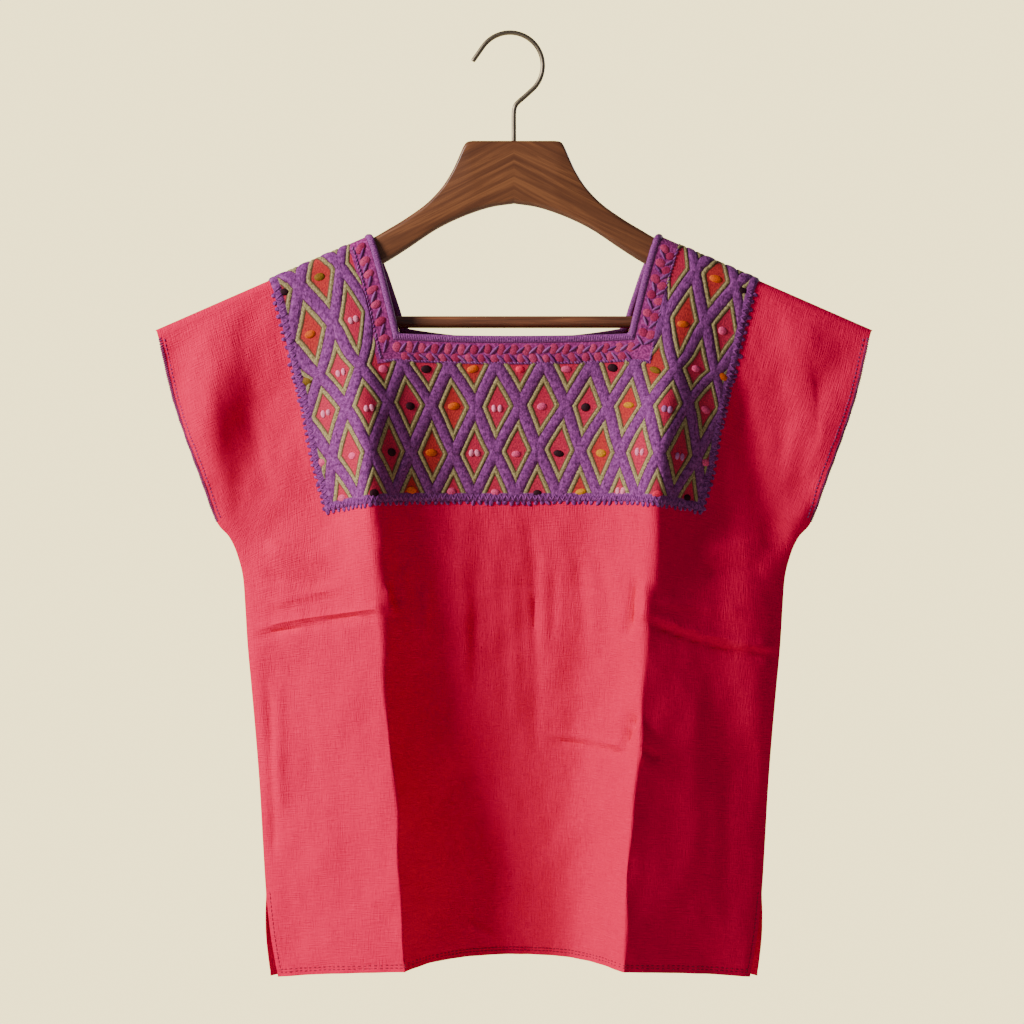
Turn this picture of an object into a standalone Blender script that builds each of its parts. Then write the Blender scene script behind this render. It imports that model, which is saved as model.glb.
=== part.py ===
"""A short-sleeved embroidered cotton blouse on a wooden hanger.

Frame: metres, +Z up. The front faces -Y and +X is to the right of someone who looks at the front.
The origin is the underside of the hook's crown, where a rail carries the hanger.
The tables are in millimetres. A place on a cloth panel is given by u, the distance from the middle,
and v, the distance down from the shoulder fold, as they were when the cloth lay flat.
"""
import math

import bpy
import numpy as np

MM = 0.001

# Cloth
WALL = 1.2
SEAM_GAP = 0.3
FOLD_RADIUS = 8.6
QUARTER_TURN = FOLD_RADIUS * math.pi / 2
LAYER_GAP = 0.38
YOKE_WALL = 1.0
CREST = 0.6
BAND_WALL = 1.1
BINDING_WIDTH = 6.0

# Places in the cut
CELL = 37.0
NECK_U = 2.5 * CELL
RIDGE_U = 3.5 * CELL
YOKE_U = 5.0 * CELL
NECK_V = 75.85
BAND_V = 94.35
BAND_U = 3.0 * CELL
CORNER_V = 168.35
SLIT_V = 510.0
HEM_V = 580.0
LATTICE_TOP = 3.55
TROUGH_POWER = 2.6

# Hanger
WIRE_RADIUS = 1.9
CROWN_RADIUS = 27.0
CROWN_OFFSET = -3.3
ARM_HALF = 6.0
WOOD_TOP = -86.9
BAR_RADIUS = 4.9
BAR_Z = -235.3
BAR_SEAT = 190.0
JOINT_GAP = 0.3

# Half the cut's width at each distance from the shoulder fold
CUT_COLUMNS = ("v", "half_width")
CUT_ROWS = (
    (0, 287), (168, 287), (190, 256), (209, 244), (240, 240), (580, 240),
)

# Where the cut's upright lines hang: x of the neck edge, press ridge, yoke edge and side
HANG_COLUMNS = ("v", "x_neck", "x_ridge", "x_yoke", "x_side", "z_neck", "z_side", "start", "power")
HANG_ROWS = (
    (0, 122.4, 150, 201.5, 294.0, -173.7, -249.1, 118.5, 1.0),
    (13.5, 118.5, 147, 197.5, 290.7, -173.7, -249.1, 118.5, 1.0),
    (20, 116.5, 145, 195.5, 289.0, -179.6, -256.5, 116.5, 1.0),
    (57, 104.5, 134, 185.0, 279.6, -226.5, -296.3, 104.5, 1.1),
    (75.85, 98.3, 130, 180.0, 274.0, -253.4, -314.2, 98.0, 1.2),
    (94.35, 94.5, 127, 176.0, 268.0, -270.6, -331.8, 94.0, 1.5),
    (131, 89.5, 121, 169.5, 255.5, -304.2, -366.2, 88.0, 2.0),
    (168.35, 86.0, 116.5, 163.0, 242.7, -342.0, -401.0, 84.0, 2.3),
    (187, 85.6, 114.5, 158.5, 233.5, -360.6, -411.5, 82.0, 2.4),
    (209, 85.3, 113, 154.0, 227.5, -382.5, -424.0, 78.0, 2.3),
    (240, 84.0, 110.5, 154.0, 222.0, -413.5, -446.0, 60.0, 1.9),
    (270, 82.0, 108, 155.0, 220.2, -443.5, -471.0, 40.0, 1.6),
    (300, 79.5, 105, 156.0, 218.5, -473.5, -499.0, 20.0, 1.3),
    (340, 77.5, 103, 155.5, 215.2, -512.5, -535.0, 0.0, 1.2),
    (380, 76.0, 101, 154.0, 212.0, -552.0, -571.0, 0.0, 1.1),
    (427, 73.0, 96.5, 151.0, 208.5, -598.5, -616.0, 0.0, 1.1),
    (470, 70.0, 93, 148.5, 206.0, -641.0, -659.5, 0.0, 1.1),
    (510, 68.0, 90.5, 146.0, 203.5, -681.5, -700.0, 0.0, 1.2),
    (545, 66.0, 88.5, 143.5, 199.5, -717.5, -735.5, 0.0, 1.35),
    (580, 64.0, 87, 140.5, 193.0, -753.5, -771.0, 0.0, 1.5),
)

# Front section at each row: depths of the middle, press ridge, yoke edge, dip, swell and edge
FRONT_COLUMNS = ("v", "y_middle", "y_ridge", "y_yoke", "x_dip", "y_dip", "x_swell", "y_swell", "y_edge")
FRONT_ROWS = (
    (13.5, -8.6, -8.6, -8.6, 212, -8.6, 240, -8.6, -6.5),
    (20, -9.5, -10.0, -9.4, 212, -9.2, 241, -10.5, -7.5),
    (57, -13.0, -20.0, -11.0, 213, -8.6, 246, -18.0, -9.0),
    (75.85, -15.5, -24.5, -11.6, 213, -6.4, 248, -19.5, -9.5),
    (94.35, -14.0, -28.5, -12.2, 213, -5.0, 249, -20.0, -9.5),
    (131, -9.0, -38.0, -13.4, 213, -4.4, 242, -14.0, -7.5),
    (168.35, -8.0, -46.0, -14.6, 211, -4.4, 233, -5.0, -0.15),
    (187, -8.0, -48.5, -15.0, 206, -4.8, 227, -3.6, -0.15),
    (209, -8.0, -50.5, -16.0, 200, -6.0, 221, -3.4, -0.15),
    (240, -7.0, -52.0, -21.0, 193, -9.6, 216, -4.2, -0.15),
    (300, -4.0, -52.0, -27.0, 188, -13.2, 212.5, -4.6, -0.15),
    (427, 0.0, -58.0, -29.5, 179, -15.0, 202.5, -4.8, -0.15),
    (510, 1.5, -62.0, -31.5, 175, -16.2, 197.5, -5.2, -0.15),
    (545, 2.0, -64.0, -32.5, 171, -18.0, 193, -8.0, -3.6),
    (580, 2.0, -66.0, -33.5, 165, -20.0, 186.5, -11.0, -7.5),
)

# Back section at each row: a soft inward crease on each side of a middle that stands out
BACK_COLUMNS = ("v", "y_middle", "x_crease", "y_crease", "x_bulge", "y_bulge",
                "x_dip", "y_dip", "x_swell", "y_swell", "y_edge")
BACK_ROWS = (
    (13.5, 8.6, 136, 8.6, 176, 8.6, 212, 8.6, 240, 8.6, 6.5),
    (20, 9.5, 134, 9.4, 176, 10.0, 212, 9.2, 241, 10.5, 7.5),
    (57, 15.0, 124, 12.0, 172, 14.5, 213, 8.8, 246, 15.0, 8.5),
    (75.85, 18.0, 119, 12.6, 169, 16.5, 213, 8.0, 248, 15.5, 8.5),
    (94.35, 20.0, 116, 12.8, 167, 18.0, 213, 7.4, 249, 15.0, 8.5),
    (131, 23.0, 110, 12.2, 162, 21.0, 213, 7.0, 242, 11.0, 6.5),
    (168.35, 25.0, 106, 11.0, 157, 22.5, 209, 6.8, 233, 5.0, 0.15),
    (209, 26.0, 103, 10.0, 152, 23.5, 200, 8.4, 221, 3.6, 0.15),
    (300, 27.0, 97, 8.0, 146, 24.5, 188, 14.0, 212.5, 5.4, 0.15),
    (427, 28.0, 90, 8.0, 139, 25.5, 179, 15.6, 202.5, 5.6, 0.15),
    (510, 29.0, 85, 8.6, 134, 26.0, 175, 16.4, 197.5, 6.0, 0.15),
    (580, 30.0, 80, 9.4, 129, 26.5, 172, 17.0, 194, 10.0, 6.0),
)

# How far the back stands outside the front below the top of the side slits
SLIT_COLUMNS = ("v", "overlap")
SLIT_ROWS = ((0, 0.0), (510, 0.0), (530, 2.4), (545, 4.2), (580, 7.2))

# Round the neck: how far its corners hang above its middle, and the back's edge inside the front's
NECK_COLUMNS = ("v", "front_rise", "back_rise", "back_inset")
NECK_ROWS = (
    (0, 0, 0, 0), (13.5, 0, 0, 0.3), (40, 0.9, 3.6, 2.4), (75.85, 2.2, 10.0, 4.2), (112, 1.6, 7.0, 3.2),
    (168.35, 0.5, 2.0, 1.0), (209, 0, 0, 0), (580, 0, 0, 0),
)

# Rows of the wall's mesh, and its columns outside the yoke as shares of what is left of the cut
FOLD_ROWS = (0.0, 4.5, 9.0, 13.5)
LATTICE_ROWS = (20.35, 38.85, 57.35, 75.85, 94.35, 112.85, 131.35, 149.85, 168.35, 187.0, 209.0)
SKIRT_ROWS = (232, 256, 281, 299, 322, 348, 375, 401, 427, 455, 483, 510, 533, 557, 580)
COLUMN_STEP = CELL / 2
SIDE_SHARES = (0.22, 0.44, 0.64, 0.82, 0.94, 1.0)

# The right arm's outline, x and z, from the joint round the top and back along the underside
ARM_OUTLINE = (
    (JOINT_GAP / 2, WOOD_TOP), (37.0, WOOD_TOP), (40.3, -88.6), (42.6, -94.5), (46.2, -102.5),
    (51.0, -112.5), (59.0, -125.0), (72.0, -138.6), (90.0, -151.4), (104.0, -159.6),
    (116.0, -166.6), (150.0, -181.5), (185.0, -196.8), (208.0, -206.9), (215.5, -212.6),
    (218.0, -221.0), (218.0, -238.0), (214.0, -245.0), (205.0, -247.5), (195.0, -246.0),
    (BAR_SEAT, -243.5), (BAR_SEAT, -226.0), (178.0, -220.0), (150.0, -207.5), (128.0, -197.4),
    (106.6, -187.0), (87.7, -175.2), (64.0, -159.4), (42.6, -149.2), (20.0, -141.6),
    (JOINT_GAP / 2, -137.7),
)
# Cross levels of an arm: depth, and how far the outline is drawn in to round the board's edges
ARM_LEVELS = (
    (-ARM_HALF, 4.2), (-4.7, 1.7), (-2.4, 0.1), (2.4, 0.1), (4.7, 1.7), (ARM_HALF, 4.2),
)


def clear_scene():
    """Remove every object that the file opened with."""
    for thing in list(bpy.data.objects):
        bpy.data.objects.remove(thing, do_unlink=True)


def plain_material(name, colour, roughness, metallic=0.0):
    """A Principled material of one linear colour."""
    material = bpy.data.materials.new(name)
    material.use_nodes = True
    shader = material.node_tree.nodes["Principled BSDF"]
    shader.inputs["Base Color"].default_value = (*colour, 1.0)
    shader.inputs["Roughness"].default_value = roughness
    shader.inputs["Metallic"].default_value = metallic
    return material


def flow(at, knots, values):
    """A smooth curve through knots and values that never overshoots them.

    Each span is a cubic; the slope at a knot is the harmonic mean of its two neighbours' slopes,
    or zero where they change sign. Knots and values may be arrays of the same shape as `at`.
    """
    at = np.asarray(at, float)
    knots = [np.broadcast_to(np.asarray(k, float), at.shape) for k in knots]
    values = [np.broadcast_to(np.asarray(w, float), at.shape) for w in values]
    spans = [b - a for a, b in zip(knots, knots[1:])]
    slopes = [(b - a) / span for a, b, span in zip(values, values[1:], spans)]
    tangents = [slopes[0]]
    for before, after in zip(slopes, slopes[1:]):
        total = np.where(before * after > 0, before + after, 1.0)
        tangents.append(np.where(before * after > 0, 2 * before * after / total, 0.0))
    tangents.append(slopes[-1])
    result = np.array(values[0])
    for i, span in enumerate(spans):
        t = np.clip((at - knots[i]) / span, 0, 1)
        curve = (values[i] * (1 + 2 * t) * (1 - t) ** 2 + values[i + 1] * t * t * (3 - 2 * t)
                 + span * tangents[i] * t * (1 - t) ** 2 + span * tangents[i + 1] * t * t * (t - 1))
        result = np.where(at >= knots[i], curve, result)
    return result


def read(columns, rows, name, v):
    """A named column of a table at each v, by the smooth curve through its rows."""
    place = columns.index(name)
    return flow(v, [row[0] for row in rows], [row[place] for row in rows])


def hang(name, v):
    """A column of the hang table."""
    return read(HANG_COLUMNS, HANG_ROWS, name, v)


def half_width(v):
    """Half the cut's width at each v."""
    return read(CUT_COLUMNS, CUT_ROWS, "half_width", v)


def hang_x(u, v, side):
    """How far from the middle a line of the cut hangs; side is -1 at the front and 1 at the back."""
    x_side = hang("x_side", v) + read(SLIT_COLUMNS, SLIT_ROWS, "overlap", v) * (side > 0)
    x_neck = hang("x_neck", v) - read(NECK_COLUMNS, NECK_ROWS, "back_inset", v) * (side > 0)
    lines = [0.0, NECK_U, RIDGE_U, YOKE_U, half_width(v)]
    return flow(u, lines, [0.0, x_neck, hang("x_ridge", v), hang("x_yoke", v), x_side])


def hang_z(x, v, side):
    """Height: the cut's cross lines droop towards the side, from `start`, by the row's power.

    The neck's corners rise over its middle as a square, and that rise fades out by the yoke's edge.
    """
    start = hang("start", v)
    share = np.clip((x - start) / (hang("x_side", v) - start), 0, 1.2)
    droop = (hang("z_neck", v) - hang("z_side", v)) * share ** hang("power", v)
    x_neck, x_yoke = hang("x_neck", v), hang("x_yoke", v)
    past = np.clip((x - x_neck) / (x_yoke - x_neck), 0, 1)
    shape = np.minimum(x / x_neck, 1) ** 2 * (1 - past * past * (3 - 2 * past))
    rise = read(NECK_COLUMNS, NECK_ROWS, "front_rise" if side < 0 else "back_rise", v)
    return hang("z_neck", v) - droop + rise * shape


def front_depth(x, v):
    """Depth of the front: a trough between two sharp ridges, then a slope, a dip and a swell."""
    row = {name: read(FRONT_COLUMNS, FRONT_ROWS, name, v) for name in FRONT_COLUMNS[1:]}
    x_ridge = hang("x_ridge", v)
    middle, ridge = row["y_middle"], row["y_ridge"]
    trough = middle + (ridge - middle) * np.clip(x / x_ridge, 0, 1) ** TROUGH_POWER
    knots = [x_ridge, hang("x_yoke", v), row["x_dip"], row["x_swell"], hang("x_side", v)]
    slope = flow(x, knots, [ridge, row["y_yoke"], row["y_dip"], row["y_swell"], row["y_edge"]])
    return np.where(x < x_ridge, trough, slope)


def back_depth(x, v):
    """Depth of the back: soft waves through the middle, crease, bulge, dip, swell and edge."""
    row = {name: read(BACK_COLUMNS, BACK_ROWS, name, v) for name in BACK_COLUMNS[1:]}
    x_side = hang("x_side", v) + read(SLIT_COLUMNS, SLIT_ROWS, "overlap", v)
    knots = [-row["x_crease"], 0.0, row["x_crease"], row["x_bulge"], row["x_dip"],
             row["x_swell"], x_side]
    depths = ("y_crease", "y_middle", "y_crease", "y_bulge", "y_dip", "y_swell", "y_edge")
    return flow(x, knots, [row[name] for name in depths])


def panel_points(u, v, side):
    """Outer face of a panel. Over the arm, the top 13.5 mm turn a quarter circle into the fold."""
    below = np.maximum(v, QUARTER_TURN)
    turn = np.clip(v / QUARTER_TURN, 0, 1) * math.pi / 2
    x = hang_x(np.abs(u), v, side)
    depth = front_depth(x, below) if side < 0 else back_depth(x, below)
    y = side * np.maximum(side * depth * np.sin(turn), SEAM_GAP / 2)
    z = hang_z(x, below, side) + FOLD_RADIUS * np.cos(turn)
    return np.stack([np.sign(u) * x, y, z], axis=-1)


def unit(vectors):
    """Each vector at length one."""
    return vectors / np.linalg.norm(vectors, axis=-1, keepdims=True)


def panel_directions(u, v, side):
    """Unit steps along u and v, and the outward normal, lengthened at a sharp ridge as a mitre."""
    step = 0.5
    here = panel_points(u, v, side)
    right = panel_points(np.minimum(u + step, half_width(v)), v, side)
    left = panel_points(np.maximum(u - step, -half_width(v)), v, side)
    lower = panel_points(u, np.minimum(v + step, HEM_V), side)
    upper = panel_points(u, np.maximum(v - step, 0.0), side)
    down = unit(lower - upper)
    at_right = (u + step > half_width(v))[..., None]
    at_left = (u - step < -half_width(v))[..., None]
    ahead = np.where(at_right, here - left, right - here)
    behind = np.where(at_left, right - here, here - left)
    normal_ahead = unit(np.cross(down, ahead)) * -side
    normal_behind = unit(np.cross(down, behind)) * -side
    middle = (normal_ahead + normal_behind) / 2
    normal = middle / np.maximum(np.sum(middle ** 2, axis=-1, keepdims=True), 0.45)
    return unit(right - left), down, normal


def seam_mask(u, v):
    """True at points that meet the other panel: the shoulder fold and the side seams."""
    on_side = np.abs(u) > half_width(v) - 0.01
    return (v < 0.01) | (on_side & (v > CORNER_V - 0.01) & (v < SLIT_V + 0.01))


def panel_grid():
    """The cut's places at the wall's mesh points, as arrays of u and v."""
    v = np.array(FOLD_ROWS + LATTICE_ROWS + SKIRT_ROWS, float)
    inner = np.arange(0, YOKE_U + 1, COLUMN_STEP)
    edge = half_width(v)[:, None]
    outer = YOKE_U + (edge - YOKE_U) * np.array(SIDE_SHARES)[None, :]
    right = np.concatenate([np.broadcast_to(inner, (len(v), len(inner))), outer], axis=1)
    u = np.concatenate([-right[:, :0:-1], right], axis=1)
    return u, np.broadcast_to(v[:, None], u.shape)


def triangle_faces(points, normals, keep, side, outward):
    """Two triangles in each kept cell, split along the diagonal that lies further in or out."""
    rows, columns = keep.shape
    index = np.arange(points.shape[0] * points.shape[1]).reshape(points.shape[:2])
    faces = []
    for j in range(rows):
        for i in range(columns):
            if not keep[j, i]:
                continue
            a, b = index[j, i], index[j + 1, i]
            c, d = index[j + 1, i + 1], index[j, i + 1]
            first = points[j, i] + points[j + 1, i + 1]
            second = points[j + 1, i] + points[j, i + 1]
            first_is_out = np.dot(first - second, normals[j, i]) > 0
            if first_is_out == outward:
                pair = [(a, b, c), (a, c, d)]
            else:
                pair = [(a, b, d), (b, c, d)]
            faces += pair if side < 0 else [face[::-1] for face in pair]
    return faces


def add_object(name, points, faces, material):
    """Put a mesh in millimetres into the scene as one smooth object in metres."""
    used = sorted({corner for face in faces for corner in face})
    order = {corner: place for place, corner in enumerate(used)}
    mesh = bpy.data.meshes.new(name)
    mesh.from_pydata([tuple(points[corner] * MM) for corner in used], [],
                     [tuple(order[corner] for corner in face) for face in faces])
    mesh.materials.append(material)
    mesh.shade_smooth()
    mesh.set_sharp_from_angle(angle=math.radians(40))
    thing = bpy.data.objects.new(name, mesh)
    bpy.context.scene.collection.objects.link(thing)
    return thing


def add_wall(name, outer, inner, normals, keep, side, material, outward=False):
    """A closed wall: outer faces, the same faces turned round on the inside, and a rim."""
    count = outer.shape[0] * outer.shape[1]
    faces = triangle_faces(outer, normals, keep, side, outward)
    edges = {(face[k], face[(k + 1) % 3]) for face in faces for k in range(3)}
    rim = [(b, a, a + count, b + count) for a, b in sorted(edges) if (b, a) not in edges]
    inside = [tuple(corner + count for corner in face[::-1]) for face in faces]
    points = np.concatenate([outer.reshape(-1, 3), inner.reshape(-1, 3)])
    return add_object(name, points, faces + inside + rim, material)


def add_panel(name, side, material):
    """One cut panel, with its cap sleeves in one with it, open at the neck."""
    u, v = panel_grid()
    outer = panel_points(u, v, side)
    normals = panel_directions(u, v, side)[2]
    flat = normals * np.array([1.0, 0.0, 1.0])
    normals = np.where(seam_mask(u, v)[..., None], unit(flat + np.array([1e-9, 0, 0])), normals)
    middle_u = (u[:-1, 1:] + u[1:, :-1]) / 2
    middle_v = (v[:-1, 1:] + v[1:, :-1]) / 2
    keep = ~((np.abs(middle_u) < NECK_U) & (middle_v < NECK_V))
    add_wall(name, outer, outer - WALL * normals, normals, keep, side, material)
    return u, v, outer, normals


def lattice_crest(u, v):
    """Height, 0 to 1, of the crossing embroidered bands: a tent over each line of the lattice."""
    across = 2 * u / CELL
    down = v / CELL - LATTICE_TOP
    crest = np.zeros(u.shape)
    for line in (across + down, across - down):
        apart = np.abs((line + 1) % 2 - 1)
        crest = np.maximum(crest, 1 - 2 * apart)
    return crest


def halve_columns(grid):
    """The grid with a point added in the middle of each span across."""
    middle = (grid[:, 1:] + grid[:, :-1]) / 2
    result = np.empty((grid.shape[0], grid.shape[1] * 2 - 1) + grid.shape[2:])
    result[:, ::2] = grid
    result[:, 1::2] = middle
    return result


def add_yoke(name, panel, side, material):
    """The embroidered yoke, on the panel's own points moved out, round the neck band."""
    u, v, outer, normals = panel
    rows = len(FOLD_ROWS) + len(LATTICE_ROWS)
    half = int(YOKE_U / COLUMN_STEP)
    centre = u.shape[1] // 2
    window = (slice(0, rows), slice(centre - half, centre + half + 1))
    u, v, base, normals = (halve_columns(grid[window]) for grid in (u, v, outer, normals))
    along_u, along_v, _ = panel_directions(u, v, side)
    beside_band = (np.abs(np.abs(u) - BAND_U) < 0.01) & (v < BAND_V + 0.01)
    below_band = (np.abs(v - BAND_V) < 0.01) & (np.abs(u) < BAND_U + 0.01)
    base = base + SEAM_GAP * np.where(beside_band, np.sign(u), 0)[..., None] * along_u
    base = base + SEAM_GAP * np.where(below_band, 1, 0)[..., None] * along_v
    thick = LAYER_GAP + YOKE_WALL + CREST * lattice_crest(u, v)
    middle_u = (u[:-1, 1:] + u[1:, :-1]) / 2
    middle_v = (v[:-1, 1:] + v[1:, :-1]) / 2
    keep = ~((np.abs(middle_u) < BAND_U) & (middle_v < BAND_V))
    add_wall(name, base + thick[..., None] * normals, base + LAYER_GAP * normals, normals,
             keep, side, material, outward=True)


def neck_window(panel, reach):
    """The panel's points from the shoulder fold to the band's lower edge, out to u = reach."""
    u, v, outer, normals = panel
    rows = len(FOLD_ROWS) + LATTICE_ROWS.index(BAND_V) + 1
    centre = u.shape[1] // 2
    half = int(round(reach / COLUMN_STEP))
    window = (slice(0, rows), slice(centre - half, centre + half + 1))
    return [grid[window] for grid in (u, v, outer, normals)]


def add_neck_band(front, back, material):
    """A ring of looped braid round the neck, front and back in one over the shoulder folds."""
    front_part = neck_window(front, BAND_U)
    back_part = neck_window(back, BAND_U)
    joined = [np.concatenate([b[:0:-1], f]) for f, b in zip(front_part, back_part)]
    u, v, outer, normals = joined
    fold = back_part[0].shape[0] - 1
    outer = outer.copy()
    outer[fold, :, 1] = 0.0
    middle_u = (u[:-1, 1:] + u[1:, :-1]) / 2
    middle_v = (v[:-1, 1:] + v[1:, :-1]) / 2
    keep = ~((np.abs(middle_u) < NECK_U) & (middle_v < NECK_V))
    add_wall("neck_band", outer + (LAYER_GAP + BAND_WALL) * normals, outer + LAYER_GAP * normals,
             normals, keep, -1, material, outward=True)


def neck_edge_stations(panel, side):
    """Points, normals and ways into the opening along one panel's neck edge, shoulder to shoulder."""
    u, v, outer, normals = panel
    along_u, along_v, _ = panel_directions(u, v, side)
    centre = u.shape[1] // 2
    half = int(round(NECK_U / COLUMN_STEP))
    bottom = len(FOLD_ROWS) + LATTICE_ROWS.index(NECK_V)
    right, left = centre + half, centre - half
    places = [(j, right) for j in range(0, bottom)]
    places += [(bottom, i) for i in range(right, left - 1, -1)]
    places += [(j, left) for j in range(bottom - 1, -1, -1)]
    stations = []
    for j, i in places:
        inward = np.zeros(3)
        if i in (left, right):
            inward = inward - np.sign(u[j, i]) * along_u[j, i]
        if j == bottom:
            inward = inward - along_v[j, i]
        stations.append((outer[j, i], normals[j, i], inward))
    return stations


def add_neck_binding(front, back, material):
    """A ribbed cord binding: one rounded section carried round the neck's cut edge."""
    front_run = neck_edge_stations(front, -1)
    back_run = neck_edge_stations(back, 1)[::-1]
    ring = front_run[:-1] + back_run[:-1]
    section = ((SEAM_GAP, -WALL), (SEAM_GAP, 1.1), (1.9, 2.0), (4.4, 1.9),
               (BINDING_WIDTH, 0.5), (BINDING_WIDTH - 0.2, -0.5), (4.4, -WALL))
    fold_places = (0, len(front_run) - 1)
    points = []
    for place, (point, normal, inward) in enumerate(ring):
        point = point.copy()
        if place in fold_places:
            point[1] = 0.0
        points += [point + a * inward + h * normal for a, h in section]
    size, count = len(section), len(ring)
    faces = []
    for place in range(count):
        after = (place + 1) % count
        for k in range(size):
            nxt = (k + 1) % size
            faces.append((place * size + k, place * size + nxt, after * size + nxt, after * size + k))
    add_object("neck_binding", np.array(points), faces, material)


def inset_outline(outline, depth):
    """A closed outline moved in by depth along the mitre at each corner, but not off the joint."""
    points = np.array(outline, float)
    before = unit(points - np.roll(points, 1, axis=0))
    after = unit(np.roll(points, -1, axis=0) - points)
    normal = np.stack([before[:, 1] + after[:, 1], -before[:, 0] - after[:, 0]], axis=1)
    step = normal / np.maximum(1 + np.sum(before * after, axis=1, keepdims=True), 0.6)
    on_joint = points[:, 0] < JOINT_GAP
    step[on_joint] = np.sign(step[on_joint]) * np.array([0.0, 1.0])
    return points + depth * step


def add_arm(name, mirror, material):
    """Half of the hanger: a wooden board with rounded edges, the left one mirrored."""
    rings = [inset_outline(ARM_OUTLINE, depth) for _, depth in ARM_LEVELS]
    count = len(ARM_OUTLINE)
    points = []
    for (y, _), ring in zip(ARM_LEVELS, rings):
        points += [(mirror * x, y, z) for x, z in ring]
    faces = []
    for level in range(len(ARM_LEVELS) - 1):
        for k in range(count):
            after = (k + 1) % count
            a, b = level * count + k, level * count + after
            faces.append((a, b, b + count, a + count))
    faces.append(tuple(range(count))[::-1])
    faces.append(tuple(range((len(ARM_LEVELS) - 1) * count, len(ARM_LEVELS) * count)))
    if mirror < 0:
        faces = [face[::-1] for face in faces]
    add_object(name, np.array(points), faces, material)


def add_tube(name, path, radius, sides, material):
    """A round section carried along a path that lies in the X-Z plane, with flat ends."""
    path = np.array(path, float)
    along = unit(np.gradient(path, axis=0))
    aside = np.stack([along[:, 2], np.zeros(len(path)), -along[:, 0]], axis=1)
    turns = np.arange(sides) * 2 * math.pi / sides
    ring = (np.cos(turns)[None, :, None] * aside[:, None, :]
            + np.sin(turns)[None, :, None] * np.array([0.0, 1.0, 0.0]))
    points = (path[:, None, :] + radius * ring).reshape(-1, 3)
    faces = []
    for j in range(len(path) - 1):
        for k in range(sides):
            after = (k + 1) % sides
            a, b = j * sides + k, j * sides + after
            faces.append((a, b, b + sides, a + sides))
    faces.append(tuple(range(sides))[::-1])
    faces.append(tuple(range((len(path) - 1) * sides, len(path) * sides)))
    add_object(name, points, faces, material)


def hook_path():
    """The hook's centreline: tip, crown arc, slanting neck, small bend and upright stem."""
    inner = CROWN_RADIUS - WIRE_RADIUS
    centre_z = -math.sqrt(inner ** 2 - CROWN_OFFSET ** 2)
    first, last = math.radians(145), math.radians(-45)
    arc = []
    for share in np.linspace(0, 1, 27):
        angle = first + (last - first) * share
        arc.append((CROWN_OFFSET + CROWN_RADIUS * math.cos(angle), 0.0,
                    centre_z + CROWN_RADIUS * math.sin(angle)))
    tip_step = np.array([math.sin(first), 0.0, -math.cos(first)])
    tip = [tuple(np.array(arc[0]) - tip_step * length) for length in (13.0, 6.5)]
    stem = [(9.2, 0.0, -50.0), (4.6, 0.0, -53.9), (1.7, 0.0, -57.0), (0.4, 0.0, -60.6),
            (0.0, 0.0, -65.0), (0.0, 0.0, -76.0), (0.0, 0.0, WOOD_TOP + JOINT_GAP)]
    return tip + arc + stem


def add_hanger():
    """Two mirrored wooden arms, the trouser bar between their ends, and the wire hook."""
    walnut = plain_material("hanger_walnut", (0.17, 0.075, 0.036), 0.45)
    bar_wood = plain_material("hanger_bar_wood", (0.13, 0.055, 0.028), 0.4)
    steel = plain_material("hanger_steel", (0.42, 0.40, 0.36), 0.3, 1.0)
    add_arm("hanger_arm_right", 1, walnut)
    add_arm("hanger_arm_left", -1, walnut)
    reach = BAR_SEAT - JOINT_GAP
    add_tube("hanger_bar", [(-reach, 0, BAR_Z), (0, 0, BAR_Z), (reach, 0, BAR_Z)], BAR_RADIUS, 20,
             bar_wood)
    add_tube("hanger_hook", hook_path(), WIRE_RADIUS, 12, steel)


def add_blouse():
    """Front and back panels, their yokes, the neck's braid and its binding."""
    cotton = plain_material("red_cotton", (0.60, 0.035, 0.085), 0.8)
    lattice = plain_material("purple_embroidery", (0.18, 0.05, 0.22), 0.75)
    braid = plain_material("looped_braid", (0.42, 0.05, 0.16), 0.75)
    cord = plain_material("purple_binding", (0.22, 0.06, 0.26), 0.7)
    front = add_panel("front_panel", -1, cotton)
    back = add_panel("back_panel", 1, cotton)
    add_yoke("yoke_front", front, -1, lattice)
    add_yoke("yoke_back", back, 1, lattice)
    add_neck_band(front, back, braid)
    add_neck_binding(front, back, cord)


def main():
    """Build the whole part."""
    clear_scene()
    add_blouse()
    add_hanger()


main()
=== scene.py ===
import math

import bpy
import numpy as np
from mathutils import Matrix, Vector


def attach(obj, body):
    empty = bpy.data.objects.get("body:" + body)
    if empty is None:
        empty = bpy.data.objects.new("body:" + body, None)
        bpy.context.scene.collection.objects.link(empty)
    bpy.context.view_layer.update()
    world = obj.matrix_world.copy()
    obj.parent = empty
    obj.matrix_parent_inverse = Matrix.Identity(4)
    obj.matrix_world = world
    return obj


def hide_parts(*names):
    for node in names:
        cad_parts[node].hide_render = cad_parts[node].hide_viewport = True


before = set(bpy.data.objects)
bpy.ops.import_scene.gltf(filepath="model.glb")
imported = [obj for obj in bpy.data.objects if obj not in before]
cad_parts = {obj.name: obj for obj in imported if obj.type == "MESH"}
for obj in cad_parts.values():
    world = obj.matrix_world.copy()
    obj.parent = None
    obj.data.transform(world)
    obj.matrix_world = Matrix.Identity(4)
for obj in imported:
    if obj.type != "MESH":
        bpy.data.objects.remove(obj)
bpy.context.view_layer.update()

# The tables are in millimetres. A place on the cloth is u, its distance from the middle, and v, its
# distance down from the shoulder fold, as they were when the cloth lay flat.
MM = 0.001
FOLD_RADIUS = 8.6
QUARTER_TURN = FOLD_RADIUS * math.pi / 2
TURN_END = 13.5
SEAM_GAP = 0.3
CLOTH = 0.8
CELL = 37.0
NECK_U = 2.5 * CELL
RIDGE_U = 3.5 * CELL
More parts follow.
